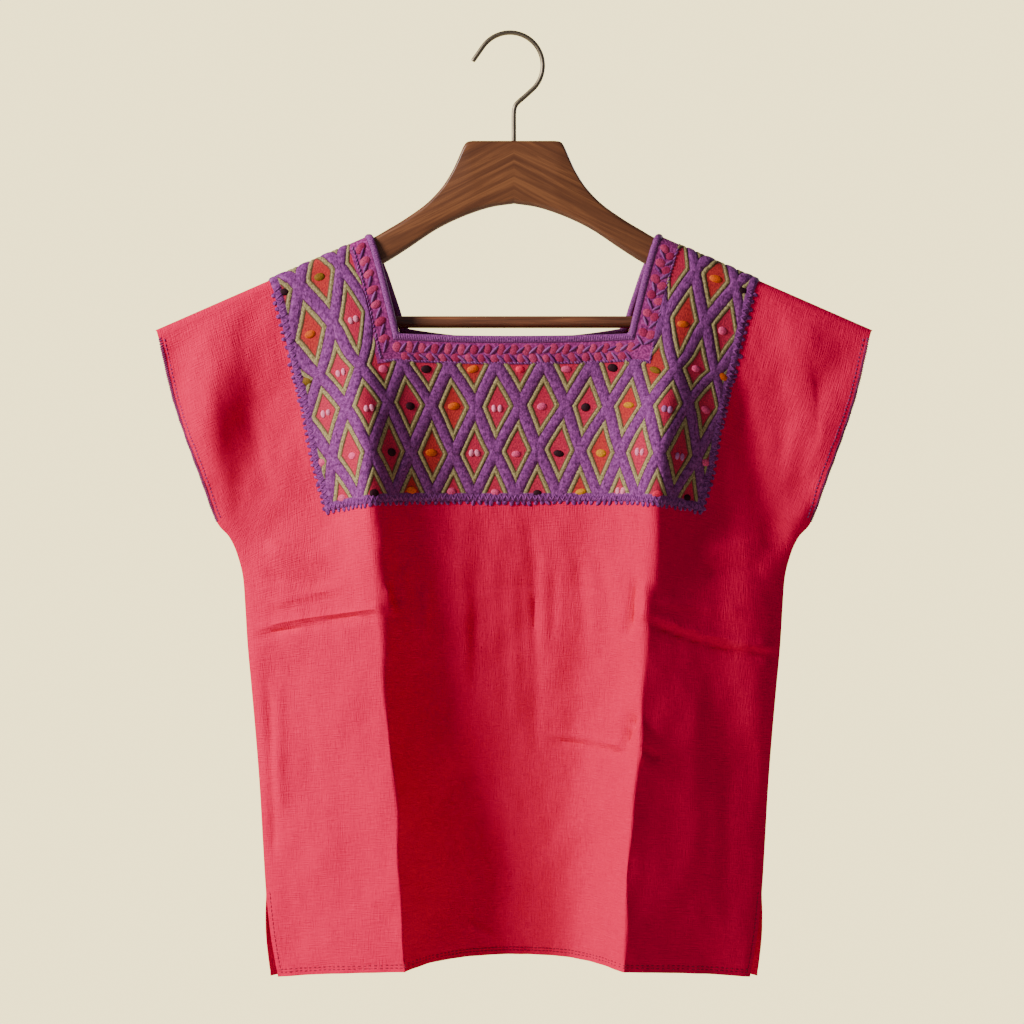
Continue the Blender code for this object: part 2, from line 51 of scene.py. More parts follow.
YOKE_U = 5.0 * CELL
BAND_U = 3.0 * CELL
NECK_V = 75.85
BAND_V = 94.35
YOKE_V = 209.0
CORNER_V = 168.35
SLIT_V = 510.0
HEM_V = 580.0
LATTICE_TOP = 3.55
TROUGH_POWER = 3.4
RIDGE_SOFT = 4.5
RIDGE_SOFT_HIGH = 17.0
RIDGE_STRAY = 0.9

# Each table is its columns, then its rows
CUT = (("v", "half_width"), (
    (0, 287), (168, 287), (190, 256), (209, 244), (240, 240), (580, 240),
))

# Where the cut's upright lines hang: x of the neck edge, press ridge, yoke edge and side
HANG = (("v", "x_neck", "x_ridge", "x_yoke", "x_side", "z_neck", "z_side", "start", "power"), (
    (0, 122.4, 150, 201.5, 294.0, -173.7, -249.1, 118.5, 1.0),
    (13.5, 118.5, 147, 197.5, 290.7, -173.7, -249.1, 118.5, 1.0),
    (20, 116.5, 145, 195.5, 289.0, -179.6, -256.5, 116.5, 1.0),
    (57, 104.5, 134, 185.0, 279.6, -226.5, -296.3, 104.5, 1.1),
    (75.85, 98.3, 130, 180.0, 274.0, -253.4, -314.2, 98.0, 1.2),
    (94.35, 94.5, 127, 176.0, 268.0, -270.6, -331.8, 94.0, 1.5),
    (131, 89.5, 121, 169.5, 255.5, -304.2, -366.2, 88.0, 2.0),
    (168.35, 86.0, 116.5, 163.0, 242.7, -342.0, -401.0, 84.0, 2.3),
    (187, 85.6, 114.5, 158.5, 233.5, -360.6, -411.5, 82.0, 2.4),
    (209, 85.3, 113, 154.0, 227.5, -382.5, -424.0, 78.0, 2.3),
    (240, 84.0, 110.5, 154.0, 222.0, -413.5, -446.0, 60.0, 1.9),
    (270, 82.0, 108, 155.0, 220.2, -443.5, -471.0, 40.0, 1.6),
    (300, 79.5, 105, 156.0, 218.5, -473.5, -499.0, 20.0, 1.3),
    (340, 77.5, 103, 155.5, 215.2, -512.5, -535.0, 0.0, 1.2),
    (380, 76.0, 101, 154.0, 212.0, -552.0, -571.0, 0.0, 1.1),
    (427, 73.0, 96.5, 151.0, 208.5, -598.5, -616.0, 0.0, 1.1),
    (470, 70.0, 93, 148.5, 206.0, -641.0, -659.5, 0.0, 1.1),
    (510, 68.0, 90.5, 146.0, 203.5, -681.5, -700.0, 0.0, 1.2),
    (545, 66.0, 88.5, 143.5, 199.5, -717.5, -735.5, 0.0, 1.35),
    (580, 64.0, 87, 140.5, 193.0, -753.5, -771.0, 0.0, 1.5),
))

FRONT = (("v", "y_middle", "y_ridge", "y_yoke", "x_dip", "y_dip", "x_swell", "y_swell", "y_edge"), (
    (13.5, -8.6, -8.6, -8.6, 212, -8.6, 240, -8.6, -6.5),
    (20, -9.5, -10.0, -9.4, 212, -9.2, 241, -10.5, -7.5),
    (57, -13.0, -20.0, -11.0, 213, -8.6, 246, -18.0, -9.0),
    (75.85, -15.5, -24.5, -11.6, 213, -6.4, 248, -19.5, -9.5),
    (94.35, -14.0, -28.5, -12.2, 213, -5.0, 249, -20.0, -9.5),
    (131, -9.0, -38.0, -13.4, 213, -4.4, 242, -14.0, -7.5),
    (168.35, -8.0, -46.0, -14.6, 211, -4.4, 233, -5.0, -0.15),
    (187, -8.0, -48.5, -15.0, 206, -4.8, 227, -3.6, -0.15),
    (209, -8.0, -50.5, -16.0, 200, -6.0, 221, -3.4, -0.15),
    (240, -7.0, -52.0, -21.0, 193, -9.6, 216, -4.2, -0.15),
    (300, -4.0, -52.0, -27.0, 188, -13.2, 212.5, -4.6, -0.15),
    (427, 0.0, -58.0, -29.5, 179, -15.0, 202.5, -4.8, -0.15),
    (510, 1.5, -62.0, -31.5, 175, -16.2, 197.5, -5.2, -0.15),
    (545, 2.0, -64.0, -32.5, 171, -18.0, 193, -8.0, -3.6),
    (580, 2.0, -66.0, -33.5, 165, -20.0, 186.5, -11.0, -7.5),
))

BACK = (("v", "y_middle", "x_crease", "y_crease", "x_bulge", "y_bulge",
         "x_dip", "y_dip", "x_swell", "y_swell", "y_edge"), (
    (13.5, 8.6, 136, 8.6, 176, 8.6, 212, 8.6, 240, 8.6, 6.5),
    (20, 9.5, 134, 9.4, 176, 10.0, 212, 9.2, 241, 10.5, 7.5),
    (57, 15.0, 124, 12.0, 172, 14.5, 213, 8.8, 246, 15.0, 8.5),
    (75.85, 18.0, 119, 12.6, 169, 16.5, 213, 8.0, 248, 15.5, 8.5),
    (94.35, 20.0, 116, 12.8, 167, 18.0, 213, 7.4, 249, 15.0, 8.5),
    (131, 23.0, 110, 12.2, 162, 21.0, 213, 7.0, 242, 11.0, 6.5),
    (168.35, 25.0, 106, 11.0, 157, 22.5, 209, 6.8, 233, 5.0, 0.15),
    (209, 26.0, 103, 10.0, 152, 23.5, 200, 8.4, 221, 3.6, 0.15),
    (300, 27.0, 97, 8.0, 146, 24.5, 188, 14.0, 212.5, 5.4, 0.15),
    (427, 28.0, 90, 8.0, 139, 25.5, 179, 15.6, 202.5, 5.6, 0.15),
    (510, 29.0, 85, 8.6, 134, 26.0, 175, 16.4, 197.5, 6.0, 0.15),
    (580, 30.0, 80, 9.4, 129, 26.5, 172, 17.0, 194, 10.0, 6.0),
))

# How far the back shows past the front at the side slits
SLIT = (("v", "overlap"), ((0, 0.0), (510, 0.0), (530, 2.4), (545, 4.2), (580, 7.2)))

# Round the neck: how far its corners hang above its middle, and the back's edge inside the front's
NECK = (("v", "front_rise", "back_rise", "back_inset"), (
    (0, 0, 0, 0), (13.5, 0, 0, 0.3), (40, 0.9, 3.6, 2.4), (75.85, 2.2, 10.0, 4.2), (112, 1.6, 7.0, 3.2),
    (168.35, 0.5, 2.0, 1.0), (209, 0, 0, 0), (580, 0, 0, 0),
))

# Creases pressed or pulled into the cloth: x and z where the line starts and ends, how far it bows,
# how high it stands (below zero: how deep it lies), its width and its sharpness
FRONT_CREASES = (
    (-224, -490, -98, -467, 1.5, 3.2, 2.6, 1.3),
    (-222, -497, -98, -473, 4.0, -3.4, 2.8, 1.3),
    (-205, -469, -136, -451, 0.0, 1.8, 2.8, 1.4),
    (-205, -474, -136, -456, 0.0, -1.6, 3.0, 1.4),
    (98, -467, 222, -502, -7.0, 3.4, 2.8, 1.3),
    (98, -475, 222, -510, -7.0, -3.8, 3.0, 1.3),
    (106, -464, 190, -474, 2.0, 2.0, 3.0, 1.4),
    (24, -573, 98, -582, 1.0, 2.4, 2.4, 1.3),
    (24, -578, 98, -588, 1.0, -2.4, 2.6, 1.3),
    (101, -556, 100, -596, 1.5, 3.4, 3.4, 1.6),
    (100, -580, 118, -590, 0.0, -2.6, 3.2, 1.6),
    (106, -444, 104, -482, 1.5, 3.2, 3.4, 1.6),
    (-42, -375, -44, -620, 0.0, 3.6, 21.0, 2.0),
    (12, -380, 18, -600, 2.0, -2.4, 6.0, 1.7),
    (48, -385, 54, -640, 0.0, -1.9, 13.0, 2.0),
    (-60, -451, 92, -455, 1.0, -0.7, 1.8, 1.6),
    (-104, -450, -98, -476, 0.0, 2.4, 3.0, 1.6),
    (-97, -446, -93, -468, 0.0, -2.2, 2.8, 1.6),
    (88, -590, 97, -552, 1.5, -5.6, 2.3, 1.3),
    (20, -410, 17, -520, -1.0, -1.3, 2.6, 1.5),
    (34, -430, 31, -500, 0.0, -1.9, 2.8, 1.4),
    (40, -370, 44, -520, 0.0, 1.2, 8.0, 1.8),
    (44, -420, 50, -500, 2.0, 1.4, 4.0, 1.8),
    (-20, -420, -16, -520, 2.0, 1.3, 4.5, 1.8),
    (-66, -424, -74, -500, -2.0, 1.6, 4.5, 1.8),
    (-88, -424, -98, -470, -2.0, -1.6, 4.0, 1.8),
    (98, -440, 90, -496, 1.0, -5.6, 2.3, 1.3),
    (-203, -512, -198, -685, 2.0, -2.2, 3.0, 1.6),
    (-190, -520, -188, -640, -2.0, 1.5, 4.0, 1.8),
    (-112, -705, -96, -722, 0.0, -1.8, 3.2, 1.8),
    (-150, -430, -205, -416, 4.0, 2.2, 5.5, 1.8),
    (-145, -446, -210, -440, 4.0, -2.2, 5.5, 1.8),
    (150, -425, 212, -418, 4.0, 2.2, 5.5, 1.8),
    (150, -444, 206, -438, 4.0, -2.2, 5.5, 1.8),
    (-226, -300, -198, -392, 4.0, -1.6, 8.0, 2.0),
    (-246, -290, -232, -372, -4.0, 1.3, 7.0, 2.0),
    (180, -262, 222, -432, -4.0, -4.6, 11.0, 2.0),
    (252, -250, 232, -396, 3.0, -9.5, 17.0, 2.0),
    (186, -385, 196, -600, 0.0, 4.6, 19.0, 2.0),
    (222, -300, 216, -352, 2.0, -1.2, 4.5, 1.8),
    (234, -310, 224, -372, -2.0, 1.0, 4.0, 1.8),
    (-190, -395, -186, -525, 0.0, 3.0, 20.0, 2.0),
    (-46, -410, -40, -520, 1.0, 1.2, 7.0, 2.0),
    (-30, -415, -32, -560, -1.0, -1.1, 4.0, 1.8),
    (-2, -425, 0, -590, 1.0, 1.0, 5.0, 1.8),
    (6, -430, 9, -540, 0.0, -1.1, 3.4, 1.6),
    (62, -420, 66, -520, 0.0, 1.0, 5.0, 1.8),
    (72, -425, 78, -480, 0.0, -1.0, 4.0, 1.8),
    (-10, -600, 6, -700, 3.0, 1.0, 10.0, 2.0),
    (146, -520, 140, -690, 3.0, 1.2, 9.0, 2.0),
    (172, -560, 170, -720, 2.0, -1.2, 7.0, 2.0),
    (-150, -560, -146, -720, -3.0, 1.0, 9.0, 2.0),
    (-40, -728, -14, -742, 1.0, 1.6, 3.2, 2.0),
)
BACK_CREASES = (
    (-212, -488, 210, -480, 6.0, 1.8, 3.0, 1.3),
    (-212, -495, 210, -487, 6.0, -2.0, 3.2, 1.3),
    (-190, -604, 120, -598, -4.0, 1.6, 3.0, 1.3),
    (-190, -610, 120, -604, -4.0, -1.8, 3.2, 1.3),
    (0, -400, 2, -735, 2.0, 1.0, 4.0, 1.4),
    (-150, -432, -205, -418, 4.0, 1.2, 8.0, 2.0),
    (150, -428, 208, -416, 4.0, 1.2, 8.0, 2.0),
    (-60, -410, -52, -560, 4.0, -0.9, 9.0, 2.0),
    (58, -430, 50, -620, -3.0, -0.9, 9.0, 2.0),
    (-170, -520, -164, -700, 3.0, 0.8, 11.0, 2.0),
    (168, -540, 160, -700, -3.0, 0.8, 11.0, 2.0),
    (226, -300, 200, -388, -4.0, -1.2, 9.0, 2.0),
    (-226, -300, -202, -388, 4.0, -1.2, 9.0, 2.0),
)
RIPPLE_SEED = 11
RIPPLE_WAVES = 34

# How many spans each panel's grid has between the cut's lines, down it and then from its middle out
SPANS = {"front": (20, 29, 13, 100, 24, 29, 9, 15, 27), "back": (16, 24, 11, 76, 18, 24, 7, 11, 21)}
RIDGE_SPANS = 10
YOKE_SPLIT = {"front": 40, "back": 32}

# Lattice, in millimetres on the cloth: from a line to the middle of a diamond's side, then the
# purple band, the sage cord's two edges and the edging
LINE_REACH = CELL / math.sqrt(5.0)
BAND_HALF = 4.3
SAGE_OUTER = 5.0
SAGE_INNER = 8.2
EDGING = 7.0

PURPLE_DARK, PURPLE, PURPLE_LIGHT = "44103A", "702C74", "A0549A"
SAGE_DARK, SAGE = "665A34", "B0A06E"
GROUND_DARK, GROUND = "921236", "CA2A48"
GROUND_WARM_DARK, GROUND_WARM = "8E1824", "C2342E"
# Painted shade: a dark line in the groove between the purple band and the sage cord, and a dark olive line
# where the cord's inner edge meets the ground
GROOVE_PAINTED_SHADE, CORD_EDGE_PAINTED_SHADE = "4A1836", "5C3A2A"
LOOP_DYES = ("961E4C", "BA3C68")
LILAC_DYES = ("68286C", "90508E")
DYES = {
    "P": "E880A2", "K": "DE4A7C", "D": "2A0614", "O": "D2580C", "Y": "D08A10",
    "M": "B46CA4", "R": "E0204A", "G": "7E5A14",
}
# Knots in the diamonds: the lattice row, the first knot's place in cells from the middle, and the
# dyes from the left to the right, where a dot is an empty place
KNOTS = (
    (-3, -5.0, "DG.......OD"),
    (-2, -4.5, "OP......OK"),
    (-1, -5.0, "GPKDORKDGKO"),
    (0, -4.5, "PPDOPKDYMK"),
    (1, -5.0, "KKDOPKDYPMK"),
    (2, -4.5, "KDOKKDYPRD"),
)

# Hanger: x and z along an arm's upper and lower edges, from the joint outwards
ARM_UPPER = (
    ((0.0, -86.9), (17.0, -86.9), (34.0, -86.9)),
    ((34.0, -86.9), (38.6, -87.9), (41.6, -92.0), (46.4, -103.0), (51.0, -112.5), (59.0, -125.0),
     (72.0, -138.6), (90.0, -151.4), (104.0, -159.8), (116.0, -166.6), (150.0, -181.5),
     (185.0, -196.8), (208.0, -206.9), (215.5, -212.6), (218.0, -221.0), (218.0, -240.0)),
)
ARM_LOWER = (
    ((0.0, -138.0), (20.0, -141.2), (42.6, -148.9), (64.0, -159.4), (87.7, -175.2), (106.6, -187.0),
     (128.0, -197.4), (150.0, -207.5), (178.0, -220.0), (190.4, -226.0), (193.0, -232.0),
     (193.0, -245.0)),
)
ARM_STATIONS = 150
ARM_HALF = 6.0
ARM_FLAT = 2.3
ARM_DRAW = 4.2
BAR_RADIUS = 4.9
BAR_Z = -235.3
BAR_REACH = 189.6
WIRE_RADIUS = 1.9
CROWN_RADIUS = 27.0
CROWN_OFFSET = -3.3
STEM = (
    (15.8, -43.9), (9.2, -50.0), (4.6, -53.9), (1.7, -57.0), (0.4, -60.6), (0.0, -65.0),
    (0.0, -76.0), (0.0, -86.7),
)

CAMERA_PLACE = (-0.0016, -2.5, -0.391)
FRAME_WIDTH = 0.8397
SENSOR = 36.0
LIT_PLACE = (0.0, 0.0, -0.4)
LAMP_COLOUR = (1.0, 0.97, 0.93)


def step(low, high, value):
    """0 below low, 1 above high, and a smooth rise between them."""
    t = np.clip((value - low) / (high - low), 0, 1)
    return t * t * (3 - 2 * t)


def flow(at, knots, values):
    """A smooth curve through knots and values that never overshoots them.

    Each span is a cubic; the slope at a knot is the harmonic mean of its two neighbours' slopes,
    or zero where they change sign. Knots and values may be arrays of the same shape as `at`.
    """
    at = np.asarray(at, float)
    knots = [np.broadcast_to(np.asarray(k, float), at.shape) for k in knots]
    values = [np.broadcast_to(np.asarray(w, float), at.shape) for w in values]
    spans = [b - a for a, b in zip(knots, knots[1:])]
    slopes = [(b - a) / span for a, b, span in zip(values, values[1:], spans)]
    tangents = [slopes[0]]
    for before, after in zip(slopes, slopes[1:]):
        total = np.where(before * after > 0, before + after, 1.0)
        tangents.append(np.where(before * after > 0, 2 * before * after / total, 0.0))
    tangents.append(slopes[-1])
    result = np.array(values[0])
    for i, span in enumerate(spans):
        t = np.clip((at - knots[i]) / span, 0, 1)
        curve = (values[i] * (1 + 2 * t) * (1 - t) ** 2 + values[i + 1] * t * t * (3 - 2 * t)
                 + span * tangents[i] * t * (1 - t) ** 2 + span * tangents[i + 1] * t * t * (t - 1))
        result = np.where(at >= knots[i], curve, result)
    return result


def read(table, name, v):
    """A named column of a table at each v, by the smooth curve through its rows."""
    columns, rows = table
    place = columns.index(name)
    return flow(v, [row[0] for row in rows], [row[place] for row in rows])


def half_width(v):
    """Half the cut's width at each v."""
    return read(CUT, "half_width", v)


def hang_x(u, v, side):
    """How far from the middle a line of the cut hangs; side is -1 at the front and 1 at the back."""
    x_side = read(HANG, "x_side", v) + read(SLIT, "overlap", v) * (side > 0)
    x_neck = read(HANG, "x_neck", v) - read(NECK, "back_inset", v) * (side > 0)
    lines = [0.0, NECK_U, RIDGE_U, YOKE_U, half_width(v)]
    return flow(u, lines, [0.0, x_neck, read(HANG, "x_ridge", v), read(HANG, "x_yoke", v), x_side])


def hang_z(x, v, side):
    """Height: the cut's cross lines droop towards the side, from `start`, by the row's power.

    The neck's corners rise over its middle as a square, and that rise fades out by the yoke's edge.
    """
    row = {name: read(HANG, name, v) for name in HANG[0][1:]}
    share = np.clip((x - row["start"]) / (row["x_side"] - row["start"]), 0, 1.2)
    droop = (row["z_neck"] - row["z_side"]) * share ** row["power"]
    past = step(row["x_neck"], row["x_yoke"], x)
    shape = np.minimum(x / row["x_neck"], 1) ** 2 * (1 - past)
    rise = read(NECK, "front_rise" if side < 0 else "back_rise", v)
    return row["z_neck"] - droop + rise * shape


def front_depth(x, v):
    """Depth of the front: a trough between two pressed ridges, then a slope, a dip and a swell.

    The trough and the slope meet in a smooth maximum, which rounds each ridge, more so up high.
    """
    row = {name: read(FRONT, name, v) for name in FRONT[0][1:]}
    x_ridge, x_yoke = read(HANG, "x_ridge", v), read(HANG, "x_yoke", v)
    middle, ridge = row["y_middle"], row["y_ridge"]
    trough = middle + (ridge - middle) * (np.maximum(x, 0) / x_ridge) ** TROUGH_POWER
    knots = [x_ridge, x_yoke, row["x_dip"], row["x_swell"], read(HANG, "x_side", v)]
    slope = flow(x, knots, [ridge, row["y_yoke"], row["y_dip"], row["y_swell"], row["y_edge"]])
    slope += np.minimum(x - x_ridge, 0) * (row["y_yoke"] - ridge) / (x_yoke - x_ridge)
    soft = RIDGE_SOFT + (RIDGE_SOFT_HIGH - RIDGE_SOFT) * (1 - step(235, 390, v))
    soft = np.minimum(soft, 0.38 * (middle - ridge)) + 0.01
    overlap = np.maximum(soft - np.abs(trough - slope), 0)
    return np.maximum(trough, slope) + overlap * overlap / (4 * soft)


def back_depth(x, v):
    """Depth of the back: soft waves through the middle, crease, bulge, dip, swell and edge."""
    row = {name: read(BACK, name, v) for name in BACK[0][1:]}
    x_side = read(HANG, "x_side", v) + read(SLIT, "overlap", v)
    knots = [-row["x_crease"], 0.0, row["x_crease"], row["x_bulge"], row["x_dip"],
             row["x_swell"], x_side]
    depths = ("y_crease", "y_middle", "y_crease", "y_bulge", "y_dip", "y_swell", "y_edge")
    return flow(x, knots, [row[name] for name in depths])


def panel_points(u, v, side):
    """The smooth outer face. Over the arm, the top turns a quarter circle into the shoulder fold.

    Near the press ridges the depth is read a little to one side, by two sines of v.
    """
    below = np.maximum(v, QUARTER_TURN)
    turn = np.clip(v / QUARTER_TURN, 0, 1) * math.pi / 2
    x = hang_x(np.abs(u), v, side)
    stray = np.sin(v / 27.0 + 1.9 * np.sign(u)) + 0.6 * np.sin(v / 11.3 + np.sign(u))
    near = RIDGE_STRAY * np.exp(-((np.abs(u) - RIDGE_U) / 22.0) ** 2) * step(30, 90, v)
    depth = front_depth(x + stray * near, below) if side < 0 else back_depth(x, below)
    y = side * np.maximum(side * depth * np.sin(turn), SEAM_GAP / 2)
    z = hang_z(x, below, side) + FOLD_RADIUS * np.cos(turn)
    return np.stack([np.sign(u) * x, y, z], axis=-1)


def unit(vectors):
    """Each vector at length one."""
    return vectors / np.maximum(np.linalg.norm(vectors, axis=-1, keepdims=True), 1e-12)


def creases(x, z, rows):
    """Sum of the rows' creases: a bell across a bowed line, faded at the line's two ends."""
    total = np.zeros(x.shape)
    for x0, z0, x1, z1, bow, height, width, power in rows:
        length = math.hypot(x1 - x0, z1 - z0)
        ax, az = (x1 - x0) / length, (z1 - z0) / length
        t = ((x - x0) * ax + (z - z0) * az) / length
        across = (x - x0) * -az + (z - z0) * ax - bow * 4 * t * (1 - t)
        fade = step(0.0, 0.25, t) * step(0.0, 0.2, 1 - t)
        total += height * fade * np.exp(-(np.abs(across) / width) ** power)
    return total


def ripples(x, z, side):
    """Soft unevenness: a seeded sum of sine waves, longer ones taller and mostly upright."""
    rng = np.random.default_rng(RIPPLE_SEED + (side > 0))
    total = np.zeros(x.shape)
    for _ in range(RIPPLE_WAVES):
        length = 14 * 9 ** rng.random()
        angle = rng.normal(0.0, 0.5)
        phase = rng.random() * 2 * math.pi
        along = x * math.cos(angle) + z * math.sin(angle)
        total += 0.0034 * length * np.sin(2 * math.pi * along / length + phase)
    return total


def relief(u, v, points, side):
    """How far the cloth stands off its smooth form: creases, ripples and the hems' puckers.

    The hem and the cuffs have a stitched groove, and small sine puckers fade away from their edges.
    """
    x, z = points[..., 0], points[..., 2]
    edge = half_width(v) - np.abs(u)
    calm = step(0.0, 10.0, edge) * step(9.0, 30.0, v)
    under_yoke = 1 - 0.75 * step(-4.0, 4.0, YOKE_U - np.abs(u)) * step(-4.0, 4.0, YOKE_V - v)
    in_shade = 1 - 0.5 * step(85, 115, x) * step(200, 240, v)
    total = creases(x, z, FRONT_CREASES if side < 0 else BACK_CREASES) * calm
    total += ripples(x, z, side) * calm * under_yoke * in_shade
    hem = np.exp(-((HEM_V - v) / 9.0) ** 2)
    total += hem * (0.45 * np.sin(u / 3.7) + 0.35 * np.sin(u / 6.1 + 1.3)) * step(0.0, 6.0, edge)
    total -= 0.55 * np.exp(-((HEM_V - 4.6 - v) / 1.6) ** 2)
    on_cuff = step(16.0, 26.0, v) * step(-6.0, 6.0, CORNER_V - 10 - v)
    total -= 0.45 * np.exp(-((edge - 4.6) / 1.6) ** 2) * on_cuff
    return total + 0.3 * np.sin(v / 2.9) * np.exp(-(edge / 8.0) ** 2) * on_cuff


def directions(u, v, side):
    """Unit steps along u and v, and the outward normal, lengthened at a sharp ridge as a mitre."""
    reach = 0.5
    here = panel_points(u, v, side)
    right = panel_points(np.minimum(u + reach, half_width(v)), v, side)
    left = panel_points(np.maximum(u - reach, -half_width(v)), v, side)
    lower = panel_points(u, np.minimum(v + reach, HEM_V), side)
    upper = panel_points(u, np.maximum(v - reach, 0.0), side)
    down = unit(lower - upper)
    at_right = (u + reach > half_width(v))[..., None]
    at_left = (u - reach < -half_width(v))[..., None]
    ahead = np.where(at_right, here - left, right - here)
    behind = np.where(at_left, right - here, here - left)
    middle = (unit(np.cross(down, ahead)) + unit(np.cross(down, behind))) * -side / 2
    normal = middle / np.maximum(np.sum(middle ** 2, axis=-1, keepdims=True), 0.45)
    return unit(right - left), down, normal


def seam_mask(u, v):
    """True at points that meet the other panel: the shoulder fold and the side seams."""
    on_side = np.abs(u) > half_width(v) - 0.01
    return (v < 0.01) | (on_side & (v > CORNER_V - 0.01) & (v < SLIT_V + 0.01))


class Cloth:
    """Points, directions and normals of one panel's face, creases included, at places u and v."""

    def __init__(self, u, v, side):
        self.u, self.v = np.broadcast_arrays(np.asarray(u, float), np.asarray(v, float))
        smooth = panel_points(self.u, self.v, side)
        self.right, self.down, self.normal = directions(self.u, self.v, side)
        flat = unit(self.normal * np.array([1.0, 0.0, 1.0]))
        self.normal = np.where(seam_mask(self.u, self.v)[..., None], flat, self.normal)
        self.points = smooth + relief(self.u, self.v, smooth, side)[..., None] * self.normal

    def raised(self, height):
        """The face moved out by a height in millimetres."""
        return self.points + np.asarray(height)[..., None] * self.normal


def runs(*stretches):
    """Joined even spacings: each stretch is (start, end, number of spans)."""
    parts = [np.linspace(a, b, n + 1)[:-1] for a, b, n in stretches]
    return np.concatenate(parts + [[stretches[-1][1]]])


def cell_middles(u, v):
    """u and v in the middle of each cell of a grid."""
    return [(part[:-1, 1:] + part[1:, :-1]) / 2 for part in (u, v)]


def quads(keep, side):
    """Corner numbers of each kept cell of a grid, wound to face outwards."""
    rows, columns = keep.shape
    index = np.arange((rows + 1) * (columns + 1)).reshape(rows + 1, columns + 1)
    corners = [index[:-1, :-1][keep], index[1:, :-1][keep], index[1:, 1:][keep], index[:-1, 1:][keep]]
    faces = np.stack(corners, axis=1)
    return faces if side < 0 else faces[:, ::-1]


def tube_faces(shape, closed=False):
    """Quads round a tube whose points are rows of rings: its ends are capped, or joined if closed."""
    index = np.arange(shape[0] * shape[1]).reshape(shape[:2])
    ends = [] if closed else [index[0][None, ::-1], index[-1][None]]
    if closed:
        index = np.concatenate([index, index[:1]])
    beside = np.roll(index, -1, axis=1)
    walls = np.stack([index[:-1], beside[:-1], beside[1:], index[1:]], axis=-1)
    return [walls.reshape(-1, 4)] + ends


def build(name, points, groups, material, node=None, uv=None, sharp=50.0, colour=None):
    """A mesh object from points in millimetres and arrays of faces, shaded smooth, on the one body."""
    points = np.asarray(points, float).reshape(-1, 3)
    used = np.zeros(len(points), bool)
    used[np.concatenate([group.ravel() for group in groups])] = True
    order = np.cumsum(used) - 1
    faces = [face for group in groups for face in order[group].tolist()]
    mesh = bpy.data.meshes.new(name)
    mesh.from_pydata((points[used] * MM).tolist(), [], faces)
    if uv is not None:
        corner = np.empty(len(mesh.loops), np.int32)
        mesh.loops.foreach_get("vertex_index", corner)
        layer = mesh.uv_layers.new(name="cut")
        places = np.asarray(uv).reshape(-1, 2)[used][corner]
        layer.data.foreach_set("uv", places.astype(np.float32).ravel())
    if colour is not None:
        thread = mesh.attributes.new("thread", "FLOAT_COLOR", "POINT")
        values = np.asarray(colour, np.float32).reshape(-1, 4)[used]
        thread.data.foreach_set("color", values.ravel())
    mesh.materials.append(material)
    mesh.shade_smooth()
    mesh.set_sharp_from_angle(angle=math.radians(sharp))
    thing = bpy.data.objects.new(name, mesh)
    bpy.context.scene.collection.objects.link(thing)
    if node:
        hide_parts(node)
    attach(thing, "root")
    return thing


def build_wall(name, outer, inner, faces, u, v, material, node, sharp=50.0):
    """A closed wall: the outer face, the same turned round inside, and a rim of quads.

    Its map is u and v on the flat cut, in units of 100 mm.
    """
    following = np.roll(faces, -1, axis=1)
    ahead = (faces * u.size + following).ravel()
    back = (following * u.size + faces).ravel()
    open_edge = ~np.isin(ahead, back)
    a, b = faces.ravel()[open_edge], following.ravel()[open_edge]
    rim = np.stack([b, a, a + u.size, b + u.size], axis=1)
    points = np.concatenate([outer.reshape(-1, 3), inner.reshape(-1, 3)])
    uv = np.stack([u, v], axis=-1).reshape(-1, 2) / 100
    return build(name, points, [faces, faces[:, ::-1] + u.size, rim], material, node,
                 np.concatenate([uv, uv]), sharp)


def hexes(text):
    """Linear red, green and blue of an sRGB hex colour."""
    parts = [int(text[i:i + 2], 16) / 255 for i in (0, 2, 4)]
    return [c / 12.92 if c <= 0.04045 else ((c + 0.055) / 1.055) ** 2.4 for c in parts]


def fill(tree, socket, value):
    """Link a socket to an output, or set it to a number, a vector or an sRGB hex colour."""
    if isinstance(value, bpy.types.NodeSocket):
        tree.links.new(value, socket)
    else:
        socket.default_value = (*hexes(value), 1.0) if isinstance(value, str) else value


def add(tree, kind, *values, **settings):
    """A shader node with its settings. The values fill its open inputs in turn; None leaves one.

    Its first open output comes back.
    """
    node = tree.nodes.new("ShaderNode" + kind)
    for name, value in settings.items():
        setattr(node, name, value)
    for socket, value in zip([socket for socket in node.inputs if socket.enabled], values):
        if value is not None:
            fill(tree, socket, value)
    return next(socket for socket in node.outputs if socket.enabled)


def new_material(name):
    """A material and its tree."""
    material = bpy.data.materials.new(name)
    material.use_nodes = True
    return material, material.node_tree


def surface(tree, colour, roughness, height=None, bump=(), **sockets):
    """Fill the Principled shader: colour, roughness, a bump of strength and metres, and the rest.

    An underscore in a socket's name here stands for a space in the shader's.
    """
    shader = tree.nodes["Principled BSDF"]
    fill(tree, shader.inputs["Base Color"], colour)
    fill(tree, shader.inputs["Roughness"], roughness)
    if bump:
        fill(tree, shader.inputs["Normal"], add(tree, "Bump", *bump, None, height))
    for name, value in sockets.items():
        fill(tree, shader.inputs[name.replace("_", " ")], value)


def thread_noise(tree, along_u, along_v, detail=3.0):
    """Noise on the flat cut that changes so many times along u and along v in 100 mm."""
    cut = add(tree, "UVMap", uv_map="cut")
    place = add(tree, "Mapping", cut, None, None, (along_u, along_v, 1.0))
    return add(tree, "TexNoise", place, 1.0, detail)


